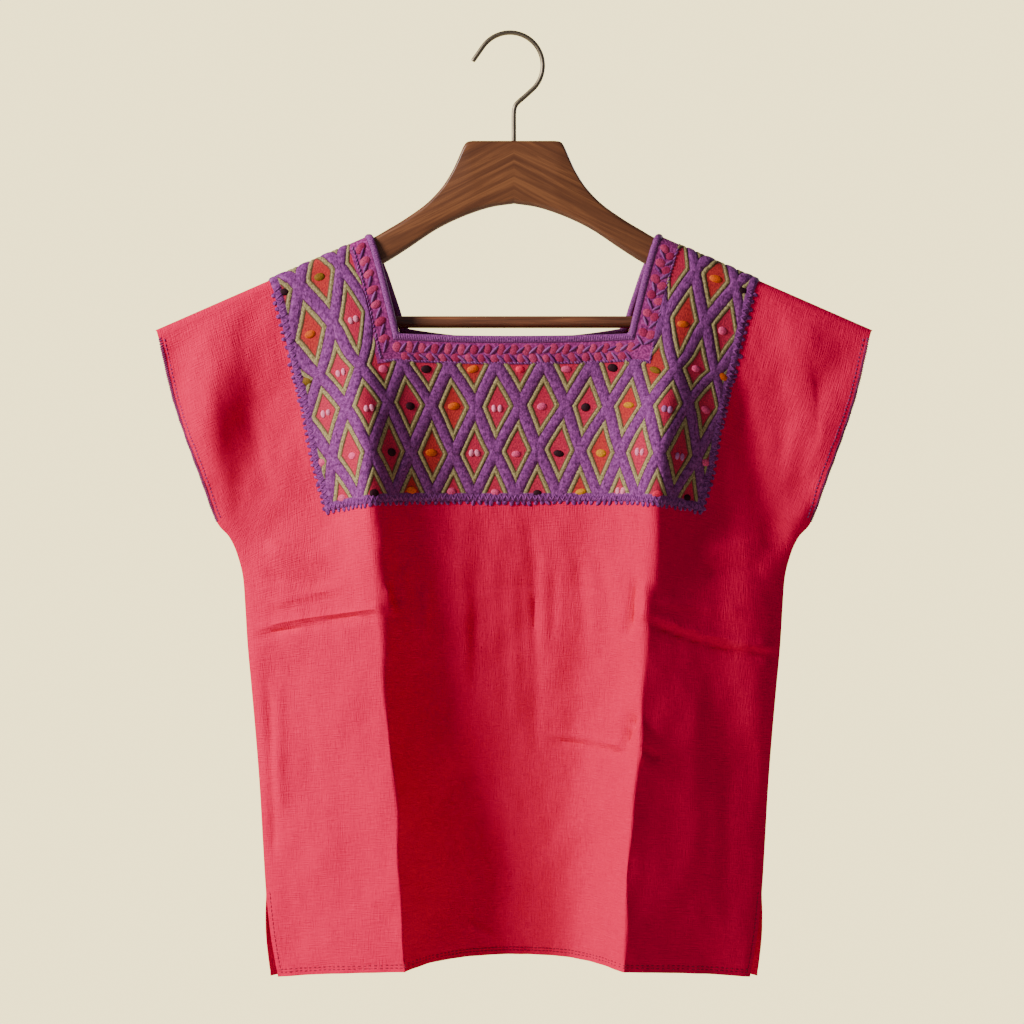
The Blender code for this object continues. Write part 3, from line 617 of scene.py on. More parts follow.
def cotton():
    """Hand-woven cotton, plain weave, washed and pressed: matt, with slubs along both threads.

    The real threads are 0.45 mm apart; the cross weave is drawn at 1.1 mm so that it shows.
    """
    material, tree = new_material("handwoven_red_cotton")
    weft = thread_noise(tree, 9.0, 130.0)
    warp = thread_noise(tree, 130.0, 9.0)
    cloud = thread_noise(tree, 2.2, 1.6)
    weave = add(tree, "Math", weft, warp, operation="ADD")
    tone = add(tree, "Math", weave, cloud, operation="ADD")
    ramp = add(tree, "MapRange", tone, 0.76, 1.20)
    fleck = add(tree, "MapRange", weft, 0.56, 0.74, 0.0, 0.55)
    colour = add(tree, "Mix", ramp, "B0002A", "E4004A", data_type="RGBA")
    colour = add(tree, "Mix", fleck, colour, "FA1A5A", data_type="RGBA")
    surface(tree, colour, 0.82, weave, (1.0, 0.001), Specular_IOR_Level=0.04, Sheen_Weight=0.02,
            Sheen_Roughness=0.5, Sheen_Tint="FF5A6C")
    return material


def threads(name, dark, base, light, along_u=60.0, along_v=60.0):
    """Stranded cotton embroidery thread: short satin stitches with a soft sheen on each ply."""
    material, tree = new_material(name)
    ply = thread_noise(tree, along_u, along_v)
    low = add(tree, "MapRange", ply, 0.32, 0.50)
    high = add(tree, "MapRange", ply, 0.50, 0.68)
    colour = add(tree, "Mix", low, dark, base, data_type="RGBA")
    colour = add(tree, "Mix", high, colour, light, data_type="RGBA")
    surface(tree, colour, 0.7, ply, (0.6, 0.0007), Specular_IOR_Level=0.15, Sheen_Weight=0.04,
            Sheen_Roughness=0.45)
    return material


def line_distance(tree, across, down, operation):
    """Share, 0 to 1, from the nearest lattice line of one family to the middle between two."""
    line = add(tree, "Math", across, down, operation=operation)
    line = add(tree, "Math", line, 1.0, operation="ADD")
    line = add(tree, "Math", line, 2.0, operation="FLOORED_MODULO")
    line = add(tree, "Math", line, 1.0, operation="SUBTRACT")
    return add(tree, "Math", line, operation="ABSOLUTE")


def embroidery():
    """Dense purple lattice with sage outlines over the red ground, all in stranded cotton.

    The UV map "lattice" holds the hand-worked pattern's own place. From a line outwards come the
    purple band, a painted shade line in the groove, the sage cord, painted shade along its inner edge and the
    ground.
    """
    material, tree = new_material("stranded_cotton_lattice")
    across, down, _ = add(tree, "SeparateXYZ", add(tree, "UVMap", uv_map="lattice")).node.outputs
    across = add(tree, "Math", across, 2.0, operation="MULTIPLY")
    first = line_distance(tree, across, down, "ADD")
    second = line_distance(tree, across, down, "SUBTRACT")
    near = add(tree, "Math", first, second, operation="MINIMUM")
    near = add(tree, "Math", near, LINE_REACH, operation="MULTIPLY")
    ply = thread_noise(tree, 80.0, 62.0, 4.0)
    wobble = add(tree, "Math", ply, 0.5, operation="SUBTRACT")
    near = add(tree, "Math", wobble, 1.6, near, operation="MULTIPLY_ADD")
    shade = add(tree, "MapRange", ply, 0.33, 0.67)
    broad = add(tree, "MapRange", thread_noise(tree, 38.0, 28.0), 0.35, 0.65)
    low = add(tree, "Mix", broad, PURPLE_DARK, PURPLE, data_type="RGBA")
    high = add(tree, "Mix", broad, PURPLE, PURPLE_LIGHT, data_type="RGBA")
    purple = add(tree, "Mix", shade, low, high, data_type="RGBA")
    sage = add(tree, "Mix", shade, SAGE_DARK, SAGE, data_type="RGBA")
    plain = add(tree, "Mix", shade, GROUND_DARK, GROUND, data_type="RGBA")
    warmer = add(tree, "Mix", shade, GROUND_WARM_DARK, GROUND_WARM, data_type="RGBA")
    warm = add(tree, "Attribute", attribute_name="warm").node.outputs["Fac"]
    ground = add(tree, "Mix", warm, plain, warmer, data_type="RGBA")
    colour = purple
    # The first and third layers are painted shade: a dark line in the groove beside the band, and a dark
    # olive line along the cord's inner edge
    for start, end, layer in ((BAND_HALF - 0.3, BAND_HALF + 0.3, GROOVE_PAINTED_SHADE),
                              (SAGE_OUTER - 0.3, SAGE_OUTER + 0.3, sage),
                              (SAGE_INNER - 0.4, SAGE_INNER, CORD_EDGE_PAINTED_SHADE),
                              (SAGE_INNER + 0.5, SAGE_INNER + 1.2, ground)):
        past = add(tree, "MapRange", near, start, end)
        colour = add(tree, "Mix", past, colour, layer, data_type="RGBA")
    edge = add(tree, "Attribute", attribute_name="edge_mm").node.outputs["Fac"]
    rim = add(tree, "MapRange", edge, EDGING - 0.5, EDGING + 0.5, 1.0, 0.0)
    colour = add(tree, "Mix", rim, colour, purple, data_type="RGBA")
    surface(tree, colour, 0.75, ply, (0.7, 0.0007), Specular_IOR_Level=0.15, Sheen_Weight=0.04,
            Sheen_Roughness=0.5)
    return material


def dyed_thread():
    """Embroidery thread in many colours: the dye is each knot's or loop's own attribute."""
    material, tree = new_material("dyed_knot_thread")
    dye = add(tree, "Attribute", attribute_name="thread")
    strand = add(tree, "TexNoise", add(tree, "TexCoord").node.outputs["Object"], 900.0, 2.0)
    shade = add(tree, "MapRange", strand, 0.3, 0.7, 0.55, 1.25)
    colour = add(tree, "VectorMath", dye, shade, operation="SCALE")
    surface(tree, colour, 0.7, strand, (0.5, 0.0006), Specular_IOR_Level=0.15)
    return material


def walnut(name, dark, base, light, slope):
    """Lacquered walnut: long grain down each arm, mirrored at the joint, with narrow dark pores."""
    material, tree = new_material(name)
    x, y, z = add(tree, "SeparateXYZ", add(tree, "TexCoord").node.outputs["Object"]).node.outputs
    mirrored = add(tree, "Math", x, operation="ABSOLUTE")
    lean = add(tree, "Math", mirrored, slope, z, operation="MULTIPLY_ADD")
    place = add(tree, "CombineXYZ", x, y, lean)
    place = add(tree, "VectorMath", place, (9.0, 60.0, 150.0), operation="MULTIPLY")
    grain = add(tree, "TexNoise", place, 1.0, 5.0, 0.6, None, 0.6)
    place = add(tree, "VectorMath", place, (4.0, 5.0, 8.0), operation="MULTIPLY")
    pores = add(tree, "TexNoise", place, 1.0, 3.0)
    streak = add(tree, "MapRange", grain, 0.36, 0.62)
    pale = add(tree, "MapRange", grain, 0.55, 0.75)
    pit = add(tree, "MapRange", pores, 0.32, 0.48, 0.7, 0.0)
    colour = add(tree, "Mix", streak, dark, base, data_type="RGBA")
    colour = add(tree, "Mix", pale, colour, light, data_type="RGBA")
    colour = add(tree, "Mix", pit, colour, dark, data_type="RGBA")
    surface(tree, colour, 0.42, pores, (0.15, 0.0003), Coat_Weight=0.12, Coat_Roughness=0.3)
    return material


def drawn_wire():
    """Drawn steel wire with a dull nickel look: fine marks along its length."""
    material, tree = new_material("drawn_steel_wire")
    marks = add(tree, "TexNoise", add(tree, "TexCoord").node.outputs["Object"], 700.0, 3.0)
    rough = add(tree, "MapRange", marks, 0.3, 0.7, 0.38, 0.54)
    colour = add(tree, "Mix", marks, "6C6252", "887C6A", data_type="RGBA")
    surface(tree, colour, rough, Metallic=1.0)
    return material


def lattice_shift(u, v):
    """How far right of the middle the hand-worked lattice sits, less lower down, none at the edges."""
    return (5.0 - 3.0 * step(125, 165, v)) * (1 - np.clip(np.abs(u) / YOKE_U, 0, 1) ** 4)


def lattice_lift(u, v):
    """How much higher, in cells, the outer diamonds sit beside the neck, more so on the right."""
    return (0.24 + 0.08 * np.sign(u)) * step(125, 165, np.abs(u)) * np.exp(-((v - 100) / 55) ** 2)


def pattern_place(u, v):
    """The lattice's own place at u and v: hand work that wanders a little."""
    across = (u - lattice_shift(u, v)) / CELL
    across += 0.022 * np.sin(v / 31.0 + u / 57.0) + 0.014 * np.sin(u / 17.0 + 2.0)
    down = v / CELL - LATTICE_TOP + lattice_lift(u, v)
    down += 0.04 * np.sin(u / 23.0 + 0.6) + 0.022 * np.sin(v / 13.0 + u / 41.0)
    return across, down


def warm_ground(across, down, side):
    """1 in the diamonds whose knot is orange or gold: their ground is worked in orange red."""
    first = np.round((2 * across + down + 1) / 2)
    second = np.round((down - 2 * across + 1) / 2)
    centre_row, centre_place = first + second - 1, (first - second) / 2
    warm = np.zeros(across.shape)
    for row, start, dyes in KNOTS:
        for k, dye in enumerate(dyes if side < 0 else dyes[::-1]):
            if dye in "OYG":
                warm[(centre_row == row) & (np.abs(centre_place - start - k) < 0.1)] = 1.0
    return warm


def lattice_height(u, v):
    """Height of the stitching: a round purple band over each line, a thin sage cord beside it."""
    across, down = pattern_place(u, v)
    near = np.full(u.shape, 9.0)
    for line in (2 * across + down, 2 * across - down):
        near = np.minimum(near, np.abs((line + 1) % 2 - 1) * LINE_REACH)
    band = 1.25 * np.sqrt(np.clip(1 - (near / BAND_HALF) ** 2, 0, 1))
    middle, half = (SAGE_OUTER + SAGE_INNER) / 2, (SAGE_INNER - SAGE_OUTER) / 2
    cord = 0.85 * np.sqrt(np.clip(1 - ((near - middle) / half) ** 2, 0, 1))
    return 0.55 + np.maximum(band, cord)


def edge_distance(u, v):
    """Millimetres from the yoke's sewn edges: its two sides and its bottom."""
    return np.minimum(YOKE_U - np.abs(u), YOKE_V - v)


def make_panel(label, side, material):
    """A panel's fine shell: rows and columns of the cut, open at the neck."""
    spans = SPANS[label]
    v = runs((0, TURN_END, 6), (TURN_END, NECK_V, spans[0]), (NECK_V, CORNER_V, spans[1]),
             (CORNER_V, YOKE_V, spans[2]), (YOKE_V, SLIT_V, spans[3]), (SLIT_V, HEM_V, spans[4]))
    inner = runs((0, NECK_U, spans[5]), (NECK_U, RIDGE_U - 6, spans[6]),
                 (RIDGE_U - 6, RIDGE_U + 6, RIDGE_SPANS), (RIDGE_U + 6, YOKE_U, spans[7]))
    edge = half_width(v)[:, None]
    outer = YOKE_U + (edge - YOKE_U) * np.linspace(0, 1, spans[8] + 1)[None, 1:]
    right = np.concatenate([np.broadcast_to(inner, (len(v), len(inner))), outer], axis=1)
    u = np.concatenate([-right[:, :0:-1], right], axis=1)
    v = np.broadcast_to(v[:, None], u.shape)
    cloth = Cloth(u, v, side)
    middle_u, middle_v = cell_middles(u, v)
    keep = (np.abs(middle_u) > NECK_U) | (middle_v > NECK_V)
    return build_wall(label + "_cotton", cloth.points, cloth.raised(np.full(u.shape, -CLOTH)),
                      quads(keep, side), u, v, material, label + "_panel")


def make_yoke(label, side, material):
    """The stitched yoke: a height field on the panel, each cell split along the nearer lattice line."""
    step_u, step_v = CELL / YOKE_SPLIT[label], 2 * CELL / YOKE_SPLIT[label]
    u = np.arange(-YOKE_U, YOKE_U + step_u / 2, step_u)
    lower = np.arange(TURN_END + step_v, YOKE_V - step_v / 2, step_v)
    u, v = np.meshgrid(u, np.concatenate([runs((0, TURN_END, 9)), lower, [YOKE_V]]))
    cloth = Cloth(u, v, side)
    edge = edge_distance(u, v)
    rim = 0.5 + 1.1 * np.sqrt(np.clip(1 - ((edge - EDGING / 2) / (EDGING / 2)) ** 2, 0, 1))
    stitched = np.maximum(lattice_height(u, v) * step(EDGING - 2, EDGING, edge), rim)
    height = 0.12 + stitched * step(0.0, 1.6, edge)
    middle_u, middle_v = cell_middles(u, v)
    keep = (np.abs(middle_u) > BAND_U - 2) | (middle_v > BAND_V - 2)
    across, down = pattern_place(middle_u[keep], middle_v[keep])
    first_line, second_line = (np.abs((line + 1) % 2 - 1) for line in (2 * across + down, 2 * across - down))
    flip = (first_line < second_line)[:, None]
    a, b, c, d = quads(keep, -1).T
    first = np.where(flip, np.stack([a, b, d], 1), np.stack([a, b, c], 1))
    second = np.where(flip, np.stack([b, c, d], 1), np.stack([a, c, d], 1))
    faces = np.concatenate([first, second])
    thing = build_wall(label + "_lattice", cloth.raised(height), cloth.raised(np.full(u.shape, 0.05)),
                       faces if side < 0 else faces[:, ::-1], u, v, material,
                       "yoke_" + label, sharp=75.0)
    add_yoke_maps(thing.data, side)
    return thing


def add_yoke_maps(mesh, side):
    """The lattice's own map, the edge's distance and the warm grounds, read back from the cut map."""
    count = len(mesh.loops)
    flat = np.empty(count * 2, np.float32)
    mesh.uv_layers["cut"].data.foreach_get("uv", flat)
    u, v = flat.reshape(-1, 2).T.astype(float) * 100
    across, down = pattern_place(u, v)
    layer = mesh.uv_layers.new(name="lattice")
    layer.data.foreach_set("uv", np.stack([across, down], 1).astype(np.float32).ravel())
    corner = np.empty(count, np.int32)
    mesh.loops.foreach_get("vertex_index", corner)
    for name, at_corners in (("edge_mm", edge_distance(u, v)), ("warm", warm_ground(across, down, side))):
        values = np.zeros(len(mesh.vertices), np.float32)
        values[corner] = at_corners
        mesh.attributes.new(name, "FLOAT", "POINT").data.foreach_set("value", values)


def dome(sides, rings):
    """A closed pillow: a half ball over a flat base, as unit points and triangles."""
    here, after = np.arange(sides), (np.arange(sides) + 1) % sides
    turns, rises = np.meshgrid(here * 2 * math.pi / sides, np.arange(rings) / rings * math.pi / 2)
    points = np.stack([np.cos(turns) * np.cos(rises), np.sin(turns) * np.cos(rises), np.sin(rises)], -1)
    points = np.concatenate([points.reshape(-1, 3), [[0.0, 0.0, 1.0], [0.0, 0.0, 0.0]]])
    top = np.full(sides, sides * rings)
    faces = [np.stack([after, here, top + 1], 1), np.stack([here + top - sides, after + top - sides, top], 1)]
    for low in range(0, sides * (rings - 1), sides):
        high = low + sides
        faces.append(np.stack([low + here, low + after, high + after], 1))
        faces.append(np.stack([low + here, high + after, high + here], 1))
    return points, np.concatenate(faces)


def stitches(name, places, side, sizes, turns, material, height, colours=None, form=(8, 3)):
    """Many small pillows on the cloth as one mesh.

    Each has a place (u, v), half sizes along, across and out, and a turn from u towards v.
    """
    places, turns = np.concatenate(places), np.concatenate(turns)[:, None]
    sizes = np.broadcast_to(np.asarray(sizes, float), (len(places), 3))[..., None]
    cloth = Cloth(places[:, 0], places[:, 1], side)
    normal = unit(cloth.normal)
    down = unit(cloth.down - np.sum(cloth.down * normal, axis=1, keepdims=True) * normal)
    right = np.cross(down, normal) * side
    along = np.cos(turns) * right + np.sin(turns) * down
    axes = np.stack([along, np.cross(normal, along), normal], axis=1) * sizes
    pillow, faces = dome(*form)
    points = (cloth.points + height * normal)[:, None] + pillow @ axes
    first = np.arange(len(places))[:, None, None] * len(pillow)
    colour = None if colours is None else np.repeat(np.concatenate(colours), len(pillow), axis=0)
    uv = np.repeat(places / 100, len(pillow), axis=0) + np.tile(pillow[:, :2] * 0.02, (len(places), 1))
    return build(name, points, [(faces + first).reshape(-1, 3)], material, uv=uv, colour=colour)


def make_knots(name, side, material):
    """A satin knot in each diamond, two side by side in the palest, in the table's dyes."""
    rng = np.random.default_rng(5)
    places, sizes, colours, turns = [], [], [], []
    for row, first, dyes in KNOTS:
        for k, dye in enumerate(dyes if side < 0 else dyes[::-1]):
            if dye == ".":
                continue
            a = first + k
            v = (row + LATTICE_TOP) * CELL + rng.normal(0, 0.6) + 1.0
            u = a * CELL + lattice_shift(a * CELL, v) + rng.normal(0, 0.5)
            v -= CELL * lattice_lift(u, v)
            if row == 2:
                v -= 5.0
            if abs(a) > 4.9:
                u -= np.sign(a) * 9.5
            if row == -1 and abs(a) < 3.1:
                v += 4.0
            split = dye in "PM" and abs(a) < 4.9
            for part in ((-1, 1) if split else (0,)):
                places.append((u + part * 2.5, v))
                wide, tall = (2.2, 3.3) if split else (5.2, 3.1) if dye in "OYG" else (4.2, 3.3)
                sizes.append((wide * rng.uniform(0.9, 1.1), tall * rng.uniform(0.85, 1.1), 1.6))
                turns.append(rng.normal(0, 0.15))
                tone = rng.uniform(0.85, 1.12)
                colours.append([c * tone for c in hexes(DYES[dye])] + [1.0])
    return stitches(name, [places], side, sizes, [turns], material, 0.55, [colours], (10, 4))


def along_line(start, end, pitch, rng, jitter):
    """Places at a pitch along a straight line of the cut, each a little off."""
    start, end = np.asarray(start, float), np.asarray(end, float)
    count = max(int(np.linalg.norm(end - start) / pitch), 1)
    share = (np.arange(count) + 0.5) / count
    places = start + share[:, None] * (end - start)
    return places + rng.normal(0, jitter, places.shape)


def yoke_edges(out, short):
    """The yoke's three sewn edges, moved out and cut short: start, end, and the turn that points out."""
    x, z, top = YOKE_U + out, YOKE_V + out, 16
    return (((-x, top), (-x, YOKE_V - short), 0.0), ((x, top), (x, YOKE_V - short), 0.0),
            ((short - YOKE_U, z), (YOKE_U - short, z), math.pi / 2))


def make_edging(name, side, material):
    """Blanket stitches: short teeth that reach out over the cloth from the yoke's sewn edges."""
    rng = np.random.default_rng(21)
    places, turns, sizes = [], [], []
    for start, end, turn in yoke_edges(0.4, 0):
        line = along_line(start, end, 5.4, rng, 0.35)
        places.append(line)
        turns.append(turn + rng.normal(0.0, 0.35, len(line)))
        sizes.append(np.stack([rng.uniform(2.2, 3.4, len(line)), rng.uniform(1.6, 2.2, len(line)),
                               np.full(len(line), 1.2)], axis=1))
    return stitches(name, places, side, np.concatenate(sizes), turns, material, 0.02)


def make_rim_stitches(name, side, material):
    """Slanting stitches that cover the yoke's edging, close together."""
    rng = np.random.default_rng(22)
    places, turns = [], []
    for start, end, turn in yoke_edges(-EDGING / 2, 3):
        line = along_line(start, end, 2.35, rng, 0.15)
        places.append(line)
        lean = np.where(np.arange(len(line)) % 2, 0.5, -0.5)
        turns.append(turn + lean + (0.0 if turn else rng.normal(0, 0.08, len(line))))
    return stitches(name, places, side, (3.6, 0.95, 0.75), turns, material, 1.45)


def neck_ring():
    """The neck edge of one panel as u and v: down the right, along the bottom, up the left."""
    down = runs((0, TURN_END, 12), (TURN_END, NECK_V, 80))
    across = np.linspace(NECK_U, -NECK_U, 301)
    u = np.concatenate([np.full(len(down) - 1, NECK_U), across, np.full(len(down) - 1, -NECK_U)])
    v = np.concatenate([down[:-1], np.full(len(across), NECK_V), down[-2::-1]])
    return u, v


def make_band(material):
    """The braid's base round the neck, front and back in one over the shoulder folds."""
    down = runs((0, TURN_END, 5), (TURN_END, NECK_V, 24), (NECK_V, BAND_V, 8))
    inner = runs((0, NECK_U, 36), (NECK_U, BAND_U, 8))
    u, v = np.meshgrid(np.concatenate([-inner[:0:-1], inner]), down)
    front, back = Cloth(u, v, -1), Cloth(u, v, 1)
    points = np.concatenate([back.points[:0:-1], front.points])
    normals = np.concatenate([back.normal[:0:-1], front.normal])
    points[len(down) - 1, :, 1] = 0.0
    u, v = np.concatenate([u[:0:-1], u]), np.concatenate([v[:0:-1], v])
    middle_u, middle_v = cell_middles(u, v)
    keep = (np.abs(middle_u) > NECK_U) | (middle_v > NECK_V)
    return build_wall("braid_base", points + 1.0 * normals, points + 0.1 * normals, quads(keep, -1),
                      u, v, material, "neck_band")


def make_loops(name, side, material):
    """The braid's face: pink-red loops in rows, a slanting lilac thread between each two, borders."""
    rng = np.random.default_rng(31 + (side > 0))
    places, turns, sizes, colours = [], [], [], []

    def put(line, turn, size, dyes):
        places.append(line)
        turns.append(turn + rng.normal(0, 0.10, len(line)))
        sizes.append(np.asarray(size) * rng.uniform(0.88, 1.1, (len(line), 3)))
        share = rng.uniform(0, 1, len(line))[:, None]
        low, high = (np.array(hexes(dye) + [1.0]) for dye in dyes)
        colours.append(low + (high - low) * share)

    def ladder(start, end, lean, pitch=9.6, size=(4.5, 3.7, 1.0)):
        start, end = np.array(start), np.array(end)
        turn = math.atan2(*(end - start)[::-1]) + math.pi / 2
        put(along_line(start, end, pitch, rng, 0.3), turn + lean, size, LOOP_DYES)
        shift = (end - start) / np.linalg.norm(end - start) * pitch / 2
        slanting = along_line(start + shift, end + shift, pitch, rng, 0.25)
        put(slanting, turn + 2.4 * lean, (size[0] * 1.1, 1.25, 1.6), LILAC_DYES)

    def border(start, end):
        line = along_line(start, end, 2.6, rng, 0.15)
        turn = math.atan2(end[1] - start[1], end[0] - start[0])
        put(line, turn + 0.5, (1.9, 0.85, 1.0), LILAC_DYES)

    low, high = NECK_V + 5.2, NECK_V + 13.4
    ladder((-NECK_U - 3, low), (NECK_U + 3, low), 0.35)
    ladder((-NECK_U + 2, high), (NECK_U - 2, high), -0.35)
    ladder((NECK_U + 5.2, 9), (NECK_U + 5.2, NECK_V), 0.35)
    ladder((NECK_U + 13.2, 13), (NECK_U + 13.2, NECK_V), -0.35)
    ladder((-NECK_U - 7.5, 8), (-NECK_U - 7.5, NECK_V + 3), -0.4, 9.8, (5.6, 3.7, 1.3))
    border((-NECK_U - 14.5, 9), (-NECK_U - 14.5, NECK_V + 14))
    border((-NECK_U - 12, BAND_V - 1.3), (BAND_U - 2, BAND_V - 1.3))
    border((BAND_U - 1.0, 9), (BAND_U - 1.0, BAND_V - 3))
    return stitches(name, places, side, np.concatenate(sizes), turns, material, 0.85,
                    colours, (10, 3))


def make_binding(material):
    """The purple binding: a rounded section carried round the neck, with ribs 1.9 mm apart."""
    rings = []
    for side in (-1, 1):
        u, v = neck_ring()
        cloth = Cloth(u, v, side)
        corner = step(-3.0, 3.0, NECK_V - v - (NECK_U - np.abs(u)))[:, None]
        inward = unit(corner * -np.sign(u)[:, None] * cloth.right - (1 - corner) * cloth.down)
        stretch = 1 + 0.41 * np.exp(-((NECK_V - v) ** 2 + (NECK_U - np.abs(u)) ** 2) / 6.0)
        points = cloth.points
        points[[0, -1], 1] = 0.0
        ring = [points, unit(cloth.normal), inward * stretch[:, None]]
        rings.append(ring if side < 0 else [part[::-1] for part in ring])
    points, normal, inward = (np.concatenate([f[:-1], b[:-1]])[:, None] for f, b in zip(*rings))
    walked = np.cumsum(np.linalg.norm(np.roll(points, -1, axis=0) - points, axis=2))[:, None]
    turns = np.linspace(0, 2 * math.pi, 15)[:-1]
    along = 3.05 - 3.0 * np.cos(turns) * (1 - 0.12 * np.sin(turns) ** 2)
    out = (0.35 + 1.9 * np.sin(turns)) * (1 + 0.119 * np.sin(2 * math.pi * walked / 1.9))
    shape = points + along[:, None] * inward + out[..., None] * normal
    uv = np.stack(np.broadcast_arrays(walked / 100, turns * 0.03), axis=-1)
    return build("neck_cord", shape, tube_faces(shape.shape, closed=True), material,
                 "neck_binding", uv)


def make_seam_stitches(name, side, hem_thread, cuff_thread):
    """The hem's double row and the slits' row in dark red; the cuffs' row and whipped edge in purple."""
    rng = np.random.default_rng(41 + (side > 0))
    hem = [along_line((-238, HEM_V - inset), (238, HEM_V - inset), 4.2, rng, 0.12) for inset in (3.4, 5.6)]
    hem_turns = [np.zeros(len(line)) for line in hem]
    cuff, cuff_turns, whip, whip_turns = [], [], [], []
    rows = ((hem, hem_turns, SLIT_V + 4, HEM_V - 2, 3.4, 3.2, (math.pi / 2, 0.0), 0.15),
            (cuff, cuff_turns, 17.0, CORNER_V - 4, 3.0, 4.6, (math.pi / 2, 0.0), 0.15),
            (whip, whip_turns, 15.0, CORNER_V - 3, 1.5, 0.9, (0.0, 0.45), 0.12))
    for sign in (-1, 1):
        for places, turns, start, end, pitch, inset, (turn, lean), spread in rows:
            v = np.arange(start, end, pitch)
            places.append(np.stack([sign * (half_width(v) - inset), v], axis=1))
            turns.append(turn + lean * sign + rng.normal(0, spread, len(v)))
    kinds = (("_hem", hem, hem_turns, (1.7, 0.5, 0.5), -0.05, hem_thread, "red_cotton"),
             ("_cuff", cuff, cuff_turns, (1.4, 0.75, 0.65), -0.05, cuff_thread, "purple_binding"),
             ("_overcast", whip, whip_turns, (1.9, 0.75, 0.5), -0.12, cuff_thread, "purple_binding"))
    return [stitches(name + label, places, side, sizes, turns, thread, height, form=(6, 2))
            for label, places, turns, sizes, height, thread, slot in kinds]


def smooth_run(points, parts):
    """A curve through points: each span is a cubic whose end slopes follow the neighbours."""
    points = np.asarray(points, float)
    before = np.vstack([2 * points[:1] - points[1:2], points[:-1]])
    after = np.vstack([points[1:], 2 * points[-1:] - points[-2:-1]])
    tangent = (after - before) / 2
    length = np.linalg.norm(tangent, axis=1)
    result = []
    for k, span in enumerate(np.linalg.norm(np.diff(points, axis=0), axis=1)):
        start = tangent[k] * min(1.0, span / max(length[k], 1e-9))
        end = tangent[k + 1] * min(1.0, span / max(length[k + 1], 1e-9))
        t = np.linspace(0, 1, parts + 1)[:-1, None]
        result.append((2 * t ** 3 - 3 * t ** 2 + 1) * points[k] + (t ** 3 - 2 * t ** 2 + t) * start
                      + (3 * t ** 2 - 2 * t ** 3) * points[k + 1] + (t ** 3 - t ** 2) * end)
    return np.concatenate(result)


def rail(stretches):
    """One edge of an arm: its smooth stretches, read at even steps of its length."""
    line = np.concatenate([smooth_run(stretch, 8) for stretch in stretches] + [stretches[-1][-1:]])
    walked = np.concatenate([[0.0], np.cumsum(np.linalg.norm(np.diff(line, axis=0), axis=1))])
    at = np.linspace(0, walked[-1], ARM_STATIONS)
    return np.stack([np.interp(at, walked, line[:, k]) for k in (0, 1)], axis=1)


def make_arm(name, mirror, material, node):
    """One wooden arm: a board section with round edges, spanned between its two edges."""
    upper, lower = rail(ARM_UPPER), rail(ARM_LOWER)
    height = np.linalg.norm(upper - lower, axis=1)[:, None]
    quarter = np.linspace(0, math.pi / 2, 7)
    deep = ARM_FLAT + (ARM_HALF - ARM_FLAT) * np.sin(quarter)
    low = np.minimum(ARM_DRAW * (1 - np.cos(quarter)), height / 2) / height
    share = np.concatenate([low, 1 - low[:, ::-1], 1 - low, low[:, ::-1]], axis=1)
    y = np.broadcast_to(np.concatenate([-deep, -deep[::-1], deep, deep[::-1]]), share.shape)
    ring = lower[:, None] + share[..., None] * (upper - lower)[:, None]
    points = np.stack([mirror * ring[..., 0], y, ring[..., 1]], axis=-1)
    groups = tube_faces(share.shape)
    if mirror > 0:
        groups = [group[:, ::-1] for group in groups]
    return build(name, points, groups, material, node, sharp=40.0)


def make_tube(name, path, radii, sides, material, node):
    """A round section of changing radius along a path in the X-Z plane, closed at both ends."""
    along = unit(np.gradient(path, axis=0))
    aside = np.stack([along[:, 2], np.zeros(len(path)), -along[:, 0]], axis=1)
    turns = (np.arange(sides) * 2 * math.pi / sides)[None, :, None]
    ring = np.cos(turns) * aside[:, None] + np.sin(turns) * np.array([0.0, 1.0, 0.0])
    points = path[:, None] + np.broadcast_to(radii, (len(path),))[:, None, None] * ring
    return build(name, points, tube_faces(points.shape), material, node)


def hook_path():
    """The hook's centreline: tip, crown arc, slanting neck, small bend and upright stem."""
    inner = CROWN_RADIUS - WIRE_RADIUS
    centre_z = -math.sqrt(inner ** 2 - CROWN_OFFSET ** 2)
    angles = np.radians(np.linspace(145, -45, 60))
    arc = np.stack([CROWN_OFFSET + CROWN_RADIUS * np.cos(angles),
                    centre_z + CROWN_RADIUS * np.sin(angles)], axis=1)
    tip_step = np.array([math.sin(angles[0]), -math.cos(angles[0])])
    tip = arc[0] - np.array([14.6, 14.0, 13.0, 8.0, 4.0])[:, None] * tip_step
    path = np.concatenate([tip, arc, smooth_run(STEM, 5)[1:], STEM[-1:]])
    return np.stack([path[:, 0], np.zeros(len(path)), path[:, 1]], axis=1)


def make_hanger():
    """Two arms, the bar between them and the hook, its tip rounded off."""
    board = walnut("lacquered_walnut_board", "552E17", "744526", "8A5731", 0.50)
    rod = walnut("lacquered_walnut_rod", "4C2A1A", "76462C", "965C3A", 0.0)
    make_arm("arm_right_board", 1, board, "hanger_arm_right")
    make_arm("arm_left_board", -1, board, "hanger_arm_left")
    reach = np.linspace(-BAR_REACH, BAR_REACH, 41)
    bar = np.stack([reach, 0 * reach, 0 * reach + BAR_Z], axis=1)
    make_tube("trouser_bar", bar, BAR_RADIUS, 32, rod, "hanger_bar")
    path = hook_path()
    radii = np.full(len(path), WIRE_RADIUS)
    radii[:3] = (1.5, 1.8, 1.9)
    make_tube("wire_hook", path, radii, 20, drawn_wire(), "hanger_hook")


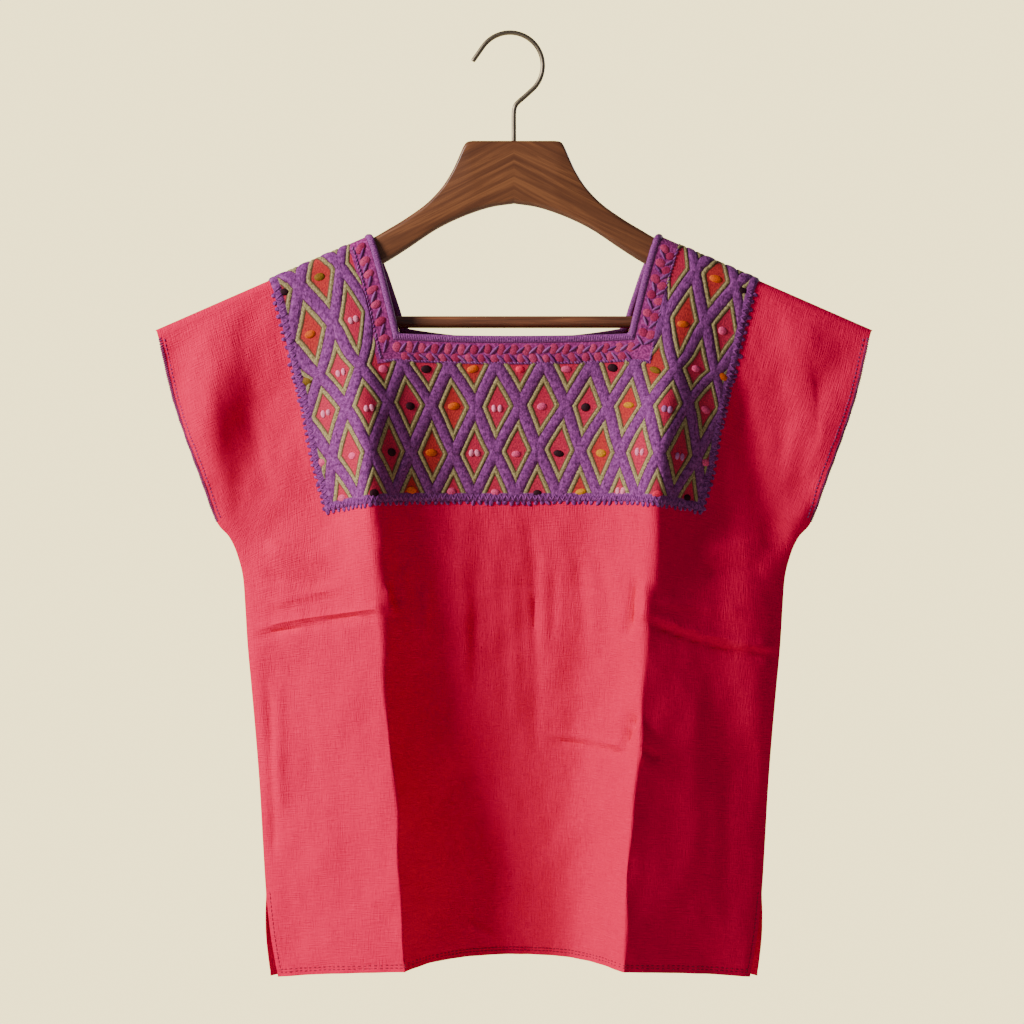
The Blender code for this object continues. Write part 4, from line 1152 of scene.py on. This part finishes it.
def make_blouse():
    """Both panels and everything sewn on them."""
    red = cotton()
    purple = threads("purple_stranded_cotton", PURPLE_DARK, PURPLE, PURPLE_LIGHT)
    ribbed = threads("purple_binding_cord", "54205A", "7C387A", "A46098", 160.0, 50.0)
    braid = threads("purple_pink_braid", "5E1450", "8A2A6E", "B04A90", 50.0, 50.0)
    hem_thread = threads("dark_red_sewing_thread", "5A0A1C", "8A1430", "A83050")
    cuff_thread = threads("purple_sewing_thread", "4A1240", "7A2A5E", "A04E84")
    lattice = embroidery()
    dyed = dyed_thread()
    for label, side in (("front", -1), ("back", 1)):
        panel = make_panel(label, side, red)
        yoke = make_yoke(label, side, lattice)
        knots = make_knots(label + "_knots", side, dyed)
        teeth = make_edging(label + "_blanket_stitch", side, purple)
        rim = make_rim_stitches(label + "_edge_stitch", side, purple)
        seams = make_seam_stitches(label, side, hem_thread, cuff_thread)
        loops = make_loops(label + "_loops", side, dyed)
    band = make_band(braid)
    cord = make_binding(ribbed)


def make_floor():
    """A pale round floor well below the hanging piece."""
    bpy.ops.mesh.primitive_circle_add(vertices=96, radius=2.0, fill_type="NGON", location=(0, 0, -1.4))
    floor = bpy.context.object
    floor.name = "floor"
    material, tree = new_material("matt_floor")
    cloud = add(tree, "TexNoise", add(tree, "TexCoord").node.outputs["Object"], 3.0)
    surface(tree, add(tree, "Mix", cloud, "E4DBC4", "EDE4D0", data_type="RGBA"), 0.9)
    floor.data.materials.append(material)


def make_light(name, place, size, power):
    """A soft square lamp turned towards the blouse's middle."""
    lamp = bpy.data.lights.new(name, "AREA")
    lamp.size = size
    lamp.energy = power
    lamp.color = LAMP_COLOUR
    thing = bpy.data.objects.new(name, lamp)
    bpy.context.scene.collection.objects.link(thing)
    thing.location = place
    away = Vector(place) - Vector(LIT_PLACE)
    thing.rotation_euler = away.to_track_quat("Z", "Y").to_euler()


def make_studio():
    """Camera level with the blouse's middle, key light low from the left, one behind, cream world.

    The camera sees a bright cream surround, and the blouse is lit by a much weaker, cooler one.
    """
    camera = bpy.data.objects.new("camera", bpy.data.cameras.new("camera"))
    bpy.context.scene.collection.objects.link(camera)
    camera.location = CAMERA_PLACE
    camera.rotation_euler = (math.pi / 2, 0, 0)
    camera.data.sensor_width = SENSOR
    camera.data.lens = SENSOR * -CAMERA_PLACE[1] / FRAME_WIDTH
    bpy.context.scene.camera = camera
    make_light("key", (-1.92, -1.02, 0.55), 0.75, 112.0)
    make_light("behind", (1.3, 2.1, 0.3), 1.2, 45.0)
    world = bpy.data.worlds.new("cream_surround")
    bpy.context.scene.world = world
    world.use_nodes = True
    tree = world.node_tree
    seen = add(tree, "Background", "FFEEAD", 2.95)
    cast = add(tree, "Background", "E4E0F0", 0.21)
    mixed = add(tree, "MixShader", add(tree, "LightPath"), cast, seen)
    fill(tree, tree.nodes["World Output"].inputs[0], mixed)


make_studio()
make_floor()
make_hanger()
make_blouse()
